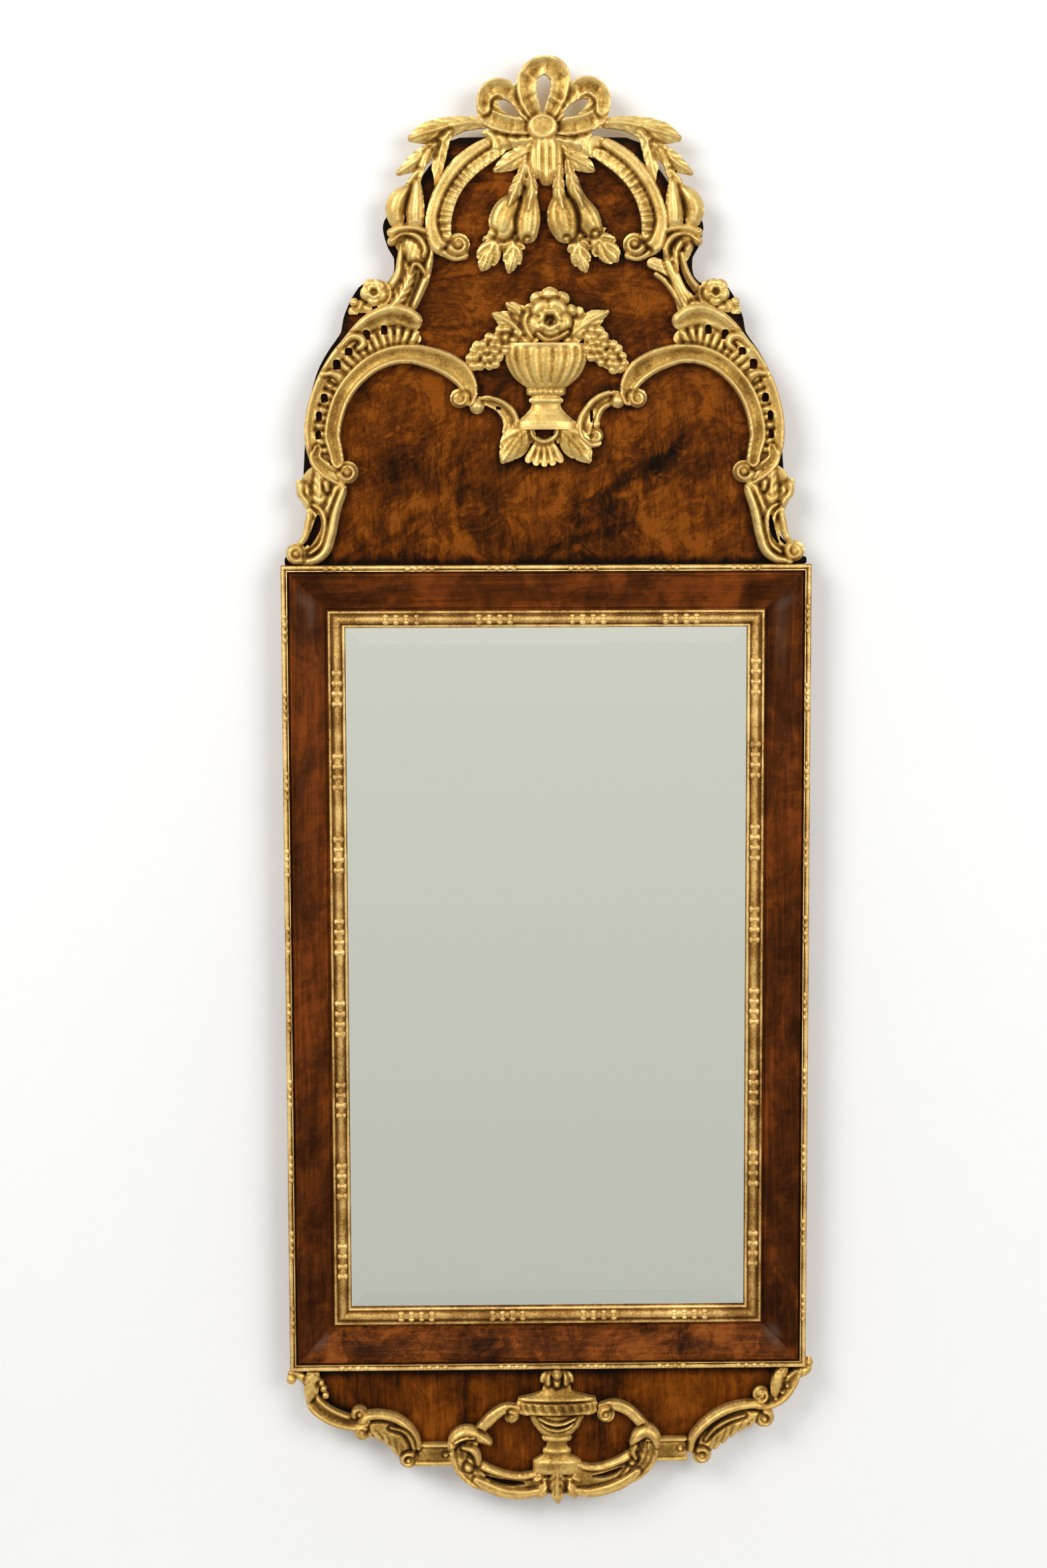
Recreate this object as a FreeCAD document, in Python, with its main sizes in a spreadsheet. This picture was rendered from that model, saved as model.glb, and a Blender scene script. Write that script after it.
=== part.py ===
import FreeCAD
import Part
import math
import os
import Sketcher

# A hanging wall mirror: a mitred veneered frame with gilt edges round a bevelled glass,
# a shaped crest board above it and a shaped apron board below, both dressed with gilt carving.
# Lengths are millimetres. X runs to the right, Z up, and the wall is the plane y = 0 behind it.
# The origin is where the wall hook carries the hanging ring.

# Driving dimensions: alias, value, meaning.
SIZES = [
    ("frame_width", 540, "outer width of the frame"),
    ("frame_height", 840, "outer height of the frame"),
    ("carcass_thick", 16, "thickness of the pine stiles and rails"),
    ("sight_border", 64, "from the outer edge of the frame to the glass that shows"),
    ("lip_overhang", 8.5, "how far the gilt sight edge stands in over the glass"),
    ("lip_thick", 1.5, "thickness of the sight edge where it ends over the glass"),
    ("bead_width", 6.5, "width of the gilt bead round the outside"),
    ("bead_front", 33, "front of the outer bead, from the wall"),
    ("quirk_width", 2, "sunk line between the bead and the moulding"),
    ("quirk_front", 27, "front of the sunk line, from the wall"),
    ("sight_width", 17.5, "width of the gilt sight edge"),
    ("sight_front", 24.5, "highest line of the sight edge, from the wall"),
    ("sight_root", 19.5, "lowest line of the sight edge hollow, from the wall"),
    ("moulding_high", 31, "front of the veneered moulding at its outer side, from the wall"),
    ("moulding_low", 20, "front of the veneered moulding at its inner side, from the wall"),
    ("fillet_width", 3, "width of the small flat along each side of the moulding"),
    ("fillet_drop", 1.5, "step of the small flat"),
    ("back_rebate", 10, "width of the rebate for the backboards"),
    ("glass_thick", 4, "thickness of the mirror glass"),
    ("glass_clearance", 1, "room round the edge of the glass"),
    ("bevel_width", 24, "width of the polished bevel"),
    ("bevel_drop", 1.2, "how much the bevel thins the edge of the glass"),
    ("wedge_length", 36, "length of a glass wedge"),
    ("wedge_width", 8, "width of a glass wedge on the glass"),
    ("wedge_depth", 6, "height of a glass wedge against the frame"),
    ("backboard_thick", 5, "thickness of the backboards"),
    ("backboard_clearance", 0.5, "room round each backboard"),
    ("nail_length", 9, "length of a backboard nail"),
    ("nail_radius", 0.9, "radius of a nail shank"),
    ("nail_head_radius", 2.4, "radius of a nail head"),
    ("nail_head_thick", 0.8, "thickness of a nail head"),
    ("nail_spacing", 150, "about how far apart the backboard nails are"),
    ("board_gap", 10, "from the wall to the back of the crest and apron boards"),
    ("board_thick", 10, "thickness of the crest and apron boards"),
    ("veneer_thick", 1.2, "thickness of the veneer on those boards"),
    ("ornament_module", 100, "unit of the carver's drawing, which the carving follows"),
    ("scroll_relief", 12, "height of the carved scrolls"),
    ("web_relief", 6, "height of the pierced webs between the scrolls"),
    ("leaf_relief", 9, "height of the carved leaves"),
    ("fruit_relief", 14, "height of the carved fruit and flowers"),
    ("urn_relief", 18, "height of the carved urns"),
    ("bow_relief", 16, "height of the ribbon bow"),
    ("batten_width", 38, "width of the battens that carry the crest and apron"),
    ("batten_thick", 8, "thickness of the battens"),
    ("batten_lap", 44, "how far the battens run down over the frame"),
    ("crest_batten_rise", 240, "how far the crest battens run up"),
    ("crest_batten_offset", 150, "from the middle to a crest batten"),
    ("apron_batten_drop", 72, "how far the apron battens run down"),
    ("apron_batten_offset", 118, "from the middle to an apron batten"),
    ("batten_chamfer", 5, "chamfer of the free end of each batten"),
    ("screw_length", 12.5, "length of a batten screw"),
    ("screw_radius", 1.7, "radius of a screw shank"),
    ("screw_head_radius", 3.6, "radius of a screw head"),
    ("screw_head_height", 2.2, "height of the cone of a screw head"),
    ("screw_inset", 14, "from the end of a batten to its first screw"),
    ("hook_height", 330, "from the top of the frame up to the wall hook"),
    ("ring_radius", 18, "radius of the hanging ring, to the middle of its wire"),
    ("ring_wire", 2.25, "radius of the hanging ring's wire"),
    ("staple_wire", 1.5, "radius of the staple's wire"),
    ("ring_standoff", 3.4, "from the back of the crest board to the middle of the ring's wire"),
    ("staple_bite", 8, "how far the staple's legs go into the crest board"),
    ("running_clearance", 0.4, "room between the ring and its staple"),
    ("strap_pin_radius", 2.2, "radius of the pin head on each apron strap"),
    ("overrun", 2, "how far a cutting solid runs past what it cuts"),
]


def make_sheet(doc):
    sheet = doc.addObject("Spreadsheet::Sheet", "sizes")
    for row, (alias, value, meaning) in enumerate(SIZES, start=1):
        sheet.set(f"A{row}", meaning)
        sheet.set(f"B{row}", str(value))
        sheet.setAlias(f"B{row}", alias)
    doc.recompute()
    return sheet


class Dim:
    """A length, with the sheet expression that gives it."""

    def __init__(self, value, text):
        self.value = float(value)
        self.text = text

    def _with(self, other, sign, turn=False):
        if not isinstance(other, Dim):
            other = Dim(other, repr(other))
        left, right = (other, self) if turn else (self, other)
        if sign == "+":
            value = left.value + right.value
        elif sign == "-":
            value = left.value - right.value
        elif sign == "*":
            value = left.value * right.value
        else:
            value = left.value / right.value
        return Dim(value, f"({left.text} {sign} {right.text})")

    def __add__(self, other):
        return self._with(other, "+")

    def __sub__(self, other):
        return self._with(other, "-")

    def __mul__(self, other):
        return self._with(other, "*")

    def __truediv__(self, other):
        return self._with(other, "/")

    def __rmul__(self, other):
        return self._with(other, "*", turn=True)

    def __neg__(self):
        return Dim(-self.value, f"(-1 * {self.text})")


doc = FreeCAD.newDocument("wall_mirror")
sheet = make_sheet(doc)
NONE = Dim(0, "0")


def dim(alias):
    return Dim(sheet.get(alias), f"sizes.{alias}")


frame_width = dim("frame_width")
frame_height = dim("frame_height")
half_width = frame_width / 2
carcass_thick = dim("carcass_thick")
sight_border = dim("sight_border")
overrun = dim("overrun")
hook_height = dim("hook_height")
carcass_border = sight_border - dim("lip_overhang")
moulding_start = dim("bead_width")
moulding_end = sight_border - dim("sight_width")
board_front = dim("board_gap") + dim("board_thick")
carving_base = board_front + dim("veneer_thick")
frame_top = -hook_height
frame_bottom = -hook_height - frame_height
frame_middle = -hook_height - frame_height / 2


def bind(thing, path, size):
    thing.setExpression(path, size.text)


def plane_of(body, role):
    return next(f for f in body.Origin.OriginFeatures if f.Role == role)


def new_body(label):
    body = doc.addObject("PartDesign::Body", label)
    body.Label = label
    return body


def place(thing, x=NONE, z=NONE):
    if x is not NONE:
        bind(thing, "Placement.Base.x", x)
    bind(thing, "Placement.Base.z", z)


def sketch_on(body, role, lift=NONE):
    sketch = body.newObject("Sketcher::SketchObject", f"{body.Label}_sketch")
    sketch.AttachmentSupport = [(plane_of(body, role), "")]
    sketch.MapMode = "FlatFace"
    if lift is not NONE:
        bind(sketch, "AttachmentOffset.Base.z", lift)
    return sketch


def pin_down(sketch, line, across, up):
    """Fix the start of a line at (across, up), each a Dim or NONE for an axis."""
    for size, kind, axis in ((across, "DistanceX", -2), (up, "DistanceY", -1)):
        if size is NONE:
            sketch.addConstraint(Sketcher.Constraint("PointOnObject", line, 1, axis))
            continue
        number = sketch.addConstraint(Sketcher.Constraint(kind, -1, 1, line, 1, size.value))
        bind(sketch, f"Constraints[{number}]", size)


def polygon(body, role, corners, lift=NONE):
    """A closed sketch of straight lines through corners given as pairs of Dims."""
    sketch = sketch_on(body, role, lift)
    points = [FreeCAD.Vector(a.value, b.value, 0) for a, b in corners]
    count = len(points)
    for k in range(count):
        sketch.addGeometry(Part.LineSegment(points[k], points[(k + 1) % count]))
    for k in range(count):
        sketch.addConstraint(Sketcher.Constraint("Coincident", k, 2, (k + 1) % count, 1))
    for k, (across, up) in enumerate(corners):
        pin_down(sketch, k, across, up)
    return sketch


def rectangle(body, role, low, high, lift=NONE):
    corners = [low, (high[0], low[1]), high, (low[0], high[1])]
    return polygon(body, role, corners, lift)


def pad(body, sketch, length, both_ways=False):
    feature = body.newObject("PartDesign::Pad", f"{body.Label}_pad")
    feature.Profile = sketch
    if both_ways:
        feature.SideType = "Symmetric"
    bind(feature, "Length", length)
    return feature


def pocket(body, sketch, depth=None):
    """Cut a sketch to a depth along the sketch's normal, or right through when no depth is given."""
    feature = body.newObject("PartDesign::Pocket", f"{body.Label}_pocket")
    feature.Profile = sketch
    if depth is None:
        feature.SideType = "Symmetric"
        feature.Type = "ThroughAll"
    else:
        feature.Reversed = True
        bind(feature, "Length", depth)
    return feature


# The four sides are each drawn as a top side: outer edge on z = 0, inner edge below it.

def side_placement(side):
    """Turn and place a member drawn as a top side."""
    turns = {"top": 0, "right": 90, "bottom": 180, "left": -90}
    spots = {
        "top": (NONE, frame_top),
        "bottom": (NONE, frame_bottom),
        "left": (-half_width, frame_middle),
        "right": (half_width, frame_middle),
    }
    return turns[side], spots[side]


def set_side(body, side):
    turn, (x, z) = side_placement(side)
    body.Placement.Rotation = FreeCAD.Rotation(FreeCAD.Vector(0, 1, 0), turn)
    place(body, x, z)


def mitred_member(label, side, profile):
    """A length of moulding: profile corners are (front, inward) pairs, both ends mitred."""
    length = frame_width if side in ("top", "bottom") else frame_height
    body = new_body(label)
    corners = [(-front, NONE if inward is NONE else -inward) for front, inward in profile]
    pad(body, polygon(body, "YZ_Plane", corners), length, both_ways=True)
    reach = sight_border + overrun
    half = length / 2
    right_end = [(half + overrun, overrun), (half - reach, -reach), (half + overrun, -reach)]
    left_end = [(-across, up) for across, up in right_end]
    pocket(body, polygon(body, "XZ_Plane", right_end))
    pocket(body, polygon(body, "XZ_Plane", left_end))
    set_side(body, side)
    return body


def outer_bead_profile():
    width = dim("bead_width")
    front = dim("bead_front")
    shoulder_share = 0.25
    shoulder_drop_share = 0.45
    rise = (front - dim("quirk_front")) * shoulder_drop_share
    return [
        (carcass_thick, NONE), (front - rise, NONE), (front, width * shoulder_share),
        (front, width * (1 - shoulder_share)), (front - rise, width), (carcass_thick, width),
    ]


def veneered_profile():
    """Quirk, outer fillet, a long hollow sweep down towards the glass, and inner fillet."""
    high, low = dim("moulding_high"), dim("moulding_low")
    drop = dim("fillet_drop")
    outer = moulding_start + dim("quirk_width")
    fillet_end = outer + dim("fillet_width")
    inner = moulding_end - dim("fillet_width")
    sweep_shares = [(0.0, 1.0), (0.18, 0.83), (0.42, 0.50), (0.70, 0.20), (1.0, 0.0)]
    sweep = [
        (low + (high - low - drop) * height, fillet_end + (inner - fillet_end) * along)
        for along, height in sweep_shares
    ]
    return [
        (carcass_thick, moulding_start), (dim("quirk_front"), moulding_start),
        (dim("quirk_front"), outer), (high, outer), (high, fillet_end),
        *sweep,
        (low - drop, inner), (low - drop, moulding_end), (carcass_thick, moulding_end),
    ]


def sight_edge_profile():
    """A round bead outside, a hollow, and a slope down to the thin lip over the glass."""
    top, root, width = dim("sight_front"), dim("sight_root"), dim("sight_width")
    lip = carcass_thick + dim("lip_thick")
    front_shares = [
        (0.0, 0.45), (0.07, 0.85), (0.18, 1.0), (0.29, 0.85), (0.36, 0.35), (0.50, 0.0),
    ]
    slope_share, slope_drop_share = 0.75, 0.35
    front = [(root + (top - root) * height, moulding_end + width * along)
             for along, height in front_shares]
    return [
        (carcass_thick, moulding_end), *front,
        (root - (root - lip) * slope_drop_share, moulding_end + width * slope_share),
        (lip, sight_border), (carcass_thick, sight_border),
    ]


def carcass_member(label, side):
    """A pine stile or rail: half lapped at its ends, rebated behind for the backboards."""
    upright = side in ("left", "right")
    length = frame_height if upright else frame_width
    half = length / 2
    rebate = dim("back_rebate")
    body = new_body(label)
    pad(body, rectangle(body, "XZ_Plane", (-half, -carcass_border), (half, NONE)), carcass_thick)
    lap = carcass_thick / 2
    lap_start = lap if upright else NONE
    lap_depth = lap + overrun if upright else lap
    inner = half - carcass_border
    for low, high in ((inner, half + overrun), (-half - overrun, -inner)):
        area = rectangle(
            body, "XZ_Plane", (low, -carcass_border - overrun), (high, overrun), lap_start)
        pocket(body, area, lap_depth)
    reach = inner + rebate if upright else inner
    groove = rectangle(
        body, "XZ_Plane", (-reach, -carcass_border - overrun), (reach, rebate - carcass_border))
    pocket(body, groove, dim("backboard_thick"))
    if not upright:
        offset_name = "crest_batten_offset" if side == "top" else "apron_batten_offset"
        for sign in (-1, 1):
            middle = sign * dim(offset_name)
            half_batten = dim("batten_width") / 2
            housing = rectangle(
                body, "XZ_Plane",
                (middle - half_batten, -dim("batten_lap")), (middle + half_batten, overrun))
            pocket(body, housing, dim("board_gap"))
    set_side(body, side)
    return body


def make_frame():
    for side in ("left", "right", "top", "bottom"):
        kind = "stile" if side in ("left", "right") else "rail"
        carcass_member(f"{kind}_{side}", side)
        mitred_member(f"moulding_{side}", side, veneered_profile())
        mitred_member(f"outer_bead_{side}", side, outer_bead_profile())
        mitred_member(f"sight_edge_{side}", side, sight_edge_profile())


def make_glass():
    """The mirror plate, face against the lip of the sight edge, bevelled round its front."""
    body = new_body("mirror_glass")
    edge = carcass_border + dim("glass_clearance")
    half_glass = half_width - edge
    half_tall = frame_height / 2 - edge
    thick, bevel, drop = dim("glass_thick"), dim("bevel_width"), dim("bevel_drop")
    outline = rectangle(
        body, "XZ_Plane", (-half_glass, -half_tall), (half_glass, half_tall),
        carcass_thick - thick)
    pad(body, outline, thick)
    face = -carcass_thick
    past = face + drop + drop * overrun / bevel
    clear = face - overrun
    for sign in (1, -1):
        start, end = sign * (half_tall - bevel), sign * (half_tall + overrun)
        ends = [(face, start), (past, end), (clear, end), (clear, start)]
        pocket(body, polygon(body, "YZ_Plane", ends))
        start, end = sign * (half_glass - bevel), sign * (half_glass + overrun)
        sides = [(start, face), (end, past), (end, clear), (start, clear)]
        pocket(body, polygon(body, "XY_Plane", sides))
    place(body, z=frame_middle)


def make_backboards():
    """Two thin boards side by side in the rebate at the back."""
    room = dim("backboard_clearance")
    edge = carcass_border - dim("back_rebate") + room
    half_tall = frame_height / 2 - edge
    for label, low, high in (
        ("backboard_left", edge - half_width, -room / 2),
        ("backboard_right", room / 2, half_width - edge),
    ):
        body = new_body(label)
        outline = rectangle(body, "XZ_Plane", (low, -half_tall), (high, half_tall))
        pad(body, outline, dim("backboard_thick"))
        place(body, z=frame_middle)


# Outlines of the two shaped boards, left half from the bottom of the frame joint outwards,
# in shares of the ornament module. The right half is the left one turned over and drawn in.
CREST_LEFT_SHARES = [
    (-2.66, 0.00), (-2.66, 0.08), (-2.56, 0.16), (-2.42, 0.30), (-2.37, 0.46), (-2.40, 0.66),
    (-2.46, 0.86), (-2.455, 1.05), (-2.445, 1.22), (-2.43, 1.40), (-2.405, 1.60), (-2.36, 1.80),
    (-2.29, 2.00), (-2.185, 2.18), (-2.07, 2.34), (-2.045, 2.48), (-1.99, 2.62), (-1.93, 2.73),
    (-1.84, 2.83), (-1.70, 2.80), (-1.60, 2.84), (-1.545, 2.90), (-1.525, 2.98), (-1.53, 3.09),
    (-1.59, 3.19), (-1.63, 3.32), (-1.635, 3.42), (-1.58, 3.52), (-1.44, 3.66), (-1.30, 3.81),
    (-1.17, 3.99), (-1.02, 4.13), (-0.86, 4.275),
]
APRON_LEFT_SHARES = [
    (-2.61, 0.00), (-2.50, -0.12), (-2.42, -0.28), (-2.30, -0.42), (-2.14, -0.51),
    (-1.97, -0.57), (-1.80, -0.61), (-1.66, -0.68), (-1.55, -0.80), (-1.46, -0.92),
    (-1.32, -0.97), (-1.06, -0.97), (-0.97, -1.10), (-0.78, -1.22), (-0.52, -1.31),
    (-0.22, -1.35),
]
CREST_DRAW_IN_SHARE = 0.045
APRON_DRAW_IN_SHARE = 0.0


# The carver's drawing is as wide as the frame, and as high as its own unit says.
ORNAMENT_SPREAD_SHARE = 1 / 5.4


def board_corners(left_shares, draw_in_share):
    module = dim("ornament_module")
    spread = frame_width * ORNAMENT_SPREAD_SHARE
    left = [(spread * x, NONE if z == 0 else module * z) for x, z in left_shares]
    right = [(spread * (-x - draw_in_share), NONE if z == 0 else module * z)
             for x, z in left_shares]
    return left + right[::-1]


def make_boards():
    """Crest and apron: a pine board each, with a sheet of figured veneer on its face."""
    for name, shares, draw_in_share, level in (
        ("crest", CREST_LEFT_SHARES, CREST_DRAW_IN_SHARE, frame_top),
        ("apron", APRON_LEFT_SHARES, APRON_DRAW_IN_SHARE, frame_bottom),
    ):
        corners = board_corners(shares, draw_in_share)
        board = new_body(f"{name}_board")
        pad(board, polygon(board, "XZ_Plane", corners, dim("board_gap")), dim("board_thick"))
        place(board, z=level)
        veneer = new_body(f"{name}_veneer")
        pad(veneer, polygon(veneer, "XZ_Plane", corners, board_front), dim("veneer_thick"))
        place(veneer, z=level)


def make_battens():
    """Battens housed flush in the back of the frame, running out behind crest and apron."""
    half_batten = dim("batten_width") / 2
    start = dim("board_gap") - dim("batten_thick")
    cut = dim("batten_chamfer")
    for name, offset, free_end, joint_end, level in (
        ("crest", dim("crest_batten_offset"), dim("crest_batten_rise"),
         -dim("batten_lap"), frame_top),
        ("apron", dim("apron_batten_offset"), -dim("apron_batten_drop"),
         dim("batten_lap"), frame_bottom),
    ):
        inward = -cut if free_end.value > 0 else cut
        for side, sign in (("left", -1), ("right", 1)):
            body = new_body(f"{name}_batten_{side}")
            corners = [
                (-half_batten, joint_end), (half_batten, joint_end),
                (half_batten, free_end + inward), (half_batten - cut, free_end),
                (cut - half_batten, free_end), (-half_batten, free_end + inward),
            ]
            pad(body, polygon(body, "XZ_Plane", corners, start), dim("batten_thick"))
            place(body, sign * offset, level)


# What follows is shaped in code from the same sheet, because sketches don't fit carving.

def size(alias):
    return float(sheet.get(alias))


MODULE = size("ornament_module")
SPREAD = size("frame_width") * ORNAMENT_SPREAD_SHARE
BASE_Y = -carving_base.value


def add_shape(label, shape, level):
    feature = doc.addObject("Part::Feature", label)
    feature.Label = label
    feature.Shape = shape
    feature.Placement = FreeCAD.Placement(
        FreeCAD.Vector(0, 0, level.value), FreeCAD.Rotation())
    return feature


def smooth(rows, per_span):
    """Points on a smooth curve through the rows, so many to each span."""
    out = []
    last = len(rows) - 1
    for i in range(last):
        before, here = rows[max(i - 1, 0)], rows[i]
        there, after = rows[i + 1], rows[min(i + 2, last)]
        for k in range(per_span):
            t = k / per_span
            out.append(tuple(
                ((2 * b) + (c - a) * t + (2 * a - 5 * b + 4 * c - d) * t ** 2
                 + (3 * b - a - 3 * c + d) * t ** 3) / 2
                for a, b, c, d in zip(before, here, there, after)))
    out.append(tuple(rows[-1]))
    return out


def faceted(rings):
    """A closed solid over rings of equal count, with a flat facet at each end."""
    faces = []
    count = len(rings[0])
    for lower, upper in zip(rings, rings[1:]):
        for k in range(count):
            a, b = lower[k], lower[(k + 1) % count]
            c, d = upper[(k + 1) % count], upper[k]
            faces.append(Part.Face(Part.makePolygon([a, b, c, a])))
            faces.append(Part.Face(Part.makePolygon([a, c, d, a])))
    for ring in (rings[0], rings[-1]):
        faces.append(Part.Face(Part.makePolygon(ring + ring[:1])))
    shell = Part.makeShell(faces)
    shell.sewShape()
    solid = Part.makeSolid(Part.Shell(shell.Faces))
    if solid.Volume < 0:
        solid.reverse()
    return solid


# Sections across a carved band: shares of its half width and of its relief.
MOULDED_SHARES = [(-1, 0), (-1, 0.7), (-0.55, 1), (0, 0.62), (0.6, 0.85), (1, 0.5), (1, 0)]
ROUND_SHARES = [(-1, 0), (-1, 0.5), (-0.5, 1), (0.5, 1), (1, 0.5), (1, 0)]
RIDGE_SHARES = [(-1, 0), (-1, 0.35), (0, 1), (1, 0.35), (1, 0)]
FLAT_SHARES = [(-1, 0), (-1, 1), (1, 1), (1, 0)]


def band(rows, section_shares, relief, per_span=2):
    """A carved band: rows are (x, z, half width) in shares of the module along its middle."""
    line = smooth(rows, per_span) if len(rows) > 2 else rows
    last = len(line) - 1
    rings = []
    for i, (x, z, half) in enumerate(line):
        x0, z0, _ = line[max(i - 1, 0)]
        x1, z1, _ = line[min(i + 1, last)]
        run = math.hypot(x1 - x0, z1 - z0)
        across_x, across_z = (z0 - z1) / run, (x1 - x0) / run
        rings.append([
            FreeCAD.Vector(
                SPREAD * (x + across_x * half * a),
                BASE_Y - relief * rise,
                MODULE * (z + across_z * half * a))
            for a, rise in section_shares])
    return faceted(rings)


def boss(x, z, radius, relief, lobes=5, lobe_share=1.0, squash=1.0):
    """A dome on the board: lobed when lobe_share is under 1, narrowed across by squash."""
    levels_shares = [(1.0, 0.0), (1.0, 0.55), (0.62, 1.0)]
    count = lobes * 2
    rings = []
    for spread, rise in levels_shares:
        ring = []
        for k in range(count):
            reach = radius * spread * (lobe_share if k % 2 else 1.0)
            angle = math.pi * 2 * k / count
            ring.append(FreeCAD.Vector(
                SPREAD * (x + math.sin(angle) * reach * squash),
                BASE_Y - relief * rise,
                MODULE * (z + math.cos(angle) * reach)))
        rings.append(ring)
    return faceted(rings)


def bosses(rows, side, relief, **form):
    """Domes from rows of (x, z, radius), drawn for the left side."""
    return [boss(*row, relief, **form) for row in side_rows(rows, side)]


def lobe(outline, relief, top_share=0.74):
    """A rounded lump over an outline of (x, z) rows, drawn in towards its middle at the top."""
    middle_x = sum(x for x, z in outline) / len(outline)
    middle_z = sum(z for x, z in outline) / len(outline)
    rise_shares = [(0.0, 1.0), (0.6, 1.0), (1.0, top_share)]
    return faceted([
        [FreeCAD.Vector(
            SPREAD * (middle_x + (x - middle_x) * spread), BASE_Y - relief * rise,
            MODULE * (middle_z + (z - middle_z) * spread)) for x, z in outline]
        for rise, spread in rise_shares])


def punch(outline, relief):
    """A solid that cuts an eye of a given outline right through a carved piece."""
    ends = (BASE_Y + size("overrun"), BASE_Y - relief - size("overrun"))
    return faceted([
        [FreeCAD.Vector(SPREAD * x, y, MODULE * z) for x, z in outline] for y in ends])


def slot(rows, relief):
    """A solid that cuts a slot through a carved piece along its rows."""
    depth = relief + size("overrun") * 2
    cutter = band(rows, FLAT_SHARES, depth, per_span=1)
    cutter.translate(FreeCAD.Vector(0, size("overrun"), 0))
    return cutter


def hole(x, z, half_width, half_height, relief):
    """A small six sided hole, as a carver's gouge leaves it."""
    shoulder_share = 0.5
    corners = [(-1, shoulder_share), (0, 1), (1, shoulder_share),
               (1, -shoulder_share), (0, -1), (-1, -shoulder_share)]
    ends = (BASE_Y + size("overrun"), BASE_Y - relief - size("overrun"))
    return faceted([
        [FreeCAD.Vector(SPREAD * (x + a * half_width), y, MODULE * (z + b * half_height))
         for a, b in corners] for y in ends])


def joined(solids, cutters=(), neighbours=()):
    """One carved piece, pierced by its cutters and scribed to the neighbours that it meets."""
    shape = solids[0].fuse(list(solids[1:])) if len(solids) > 1 else solids[0]
    taken = list(cutters) + [n for n in neighbours if shape.BoundBox.intersect(n.BoundBox)]
    if taken:
        shape = shape.cut(taken)
    shape = shape.removeSplitter()
    largest = max(shape.Solids, key=lambda solid: solid.Volume)
    return largest


def turned(rows):
    """The same rows on the other side of the middle."""
    return [(-row[0], *row[1:]) for row in rows]


def side_rows(rows, side):
    return rows if side == "left" else turned(rows)


# Crest carving, drawn for the left side in shares of the module: x, z, half width.
ARCH_BAND_SHARES = [
    (-2.13, 1.10, 0.07), (-2.17, 1.30, 0.085), (-2.14, 1.50, 0.08), (-2.06, 1.70, 0.08),
    (-1.93, 1.88, 0.085), (-1.75, 2.03, 0.09), (-1.55, 2.11, 0.09), (-1.35, 2.125, 0.095),
    (-1.13, 2.08, 0.11), (-0.90, 1.95, 0.12), (-0.78, 1.82, 0.09), (-0.77, 1.70, 0.07),
]
ARCH_RIM_SHARES = [
    (-2.38, 1.10, 0.05), (-2.395, 1.40, 0.045), (-2.35, 1.62, 0.05), (-2.27, 1.84, 0.05),
    (-2.15, 2.05, 0.05), (-2.00, 2.23, 0.055), (-1.80, 2.43, 0.075), (-1.60, 2.51, 0.095),
    (-1.45, 2.51, 0.095), (-1.33, 2.455, 0.085),
]
ARCH_WEB_SHARES = [
    (-2.27, 1.06, 0.13), (-2.29, 1.40, 0.08), (-2.25, 1.62, 0.08), (-2.16, 1.82, 0.09),
    (-2.03, 2.00, 0.11), (-1.88, 2.16, 0.13), (-1.72, 2.26, 0.14), (-1.55, 2.32, 0.12),
    (-1.42, 2.32, 0.10), (-1.30, 2.27, 0.06),
]
ARCH_CURL_SHARES = [(-2.32, 1.10, 0.07), (-2.22, 0.98, 0.08), (-2.06, 0.89, 0.07)]
ARCH_BALLS_SHARES = [(-0.885, 1.68, 0.095), (-2.01, 0.945, 0.105)]
ARCH_HOLES_SHARES = [
    (-2.29, 1.30, 0.028, 0.03), (-2.27, 1.49, 0.03, 0.022), (-2.21, 1.66, 0.025, 0.028),
    (-2.085, 2.00, 0.04, 0.045), (-1.96, 2.14, 0.022, 0.03), (-1.80, 2.30, 0.03, 0.065),
    (-1.62, 2.37, 0.028, 0.045),
]
FOOT_SHARES = [
    (-2.50, 0.075, 0.062), (-2.37, 0.095, 0.075), (-2.29, 0.20, 0.085), (-2.26, 0.36, 0.11),
    (-2.25, 0.52, 0.135), (-2.25, 0.66, 0.17), (-2.27, 0.80, 0.20),
]
FOOT_LEAF_SHARES = [(-2.28, 0.72, 0.13), (-2.40, 0.79, 0.10), (-2.50, 0.84, 0.02)]
FOOT_BALL_SHARES = [(-2.535, 0.115, 0.11)]
FOOT_SLOT_SHARES = [(-2.375, 0.23, 0.02), (-2.315, 0.32, 0.024), (-2.29, 0.45, 0.02)]
ACANTHUS_SHARES = [
    (-1.52, 2.66, 0.17), (-1.42, 2.82, 0.15), (-1.34, 2.98, 0.14), (-1.32, 3.12, 0.17),
    (-1.38, 3.28, 0.20), (-1.40, 3.40, 0.17),
]
ACANTHUS_RIGHT_SHARES = [
    (1.48, 2.67, 0.13), (1.35, 2.81, 0.13), (1.26, 2.97, 0.15), (1.26, 3.13, 0.18),
    (1.34, 3.28, 0.20), (1.38, 3.40, 0.17),
]
PETAL_SHARE = 0.86
ROSE_SHARES = [(-1.72, 2.755, 0.12)]
ACANTHUS_CURL_SHARES = [(-1.53, 3.27, 0.075)]
ROSE_STEM_SHARES = [
    (-1.46, 2.72, 0.08), (-1.70, 2.72, 0.09), (-1.84, 2.58, 0.11), (-1.95, 2.46, 0.03),
]
ACANTHUS_SLOT_SHARES = [(1.48, 2.75, 0.02), (1.40, 2.84, 0.024), (1.35, 2.98, 0.02)]
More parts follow.
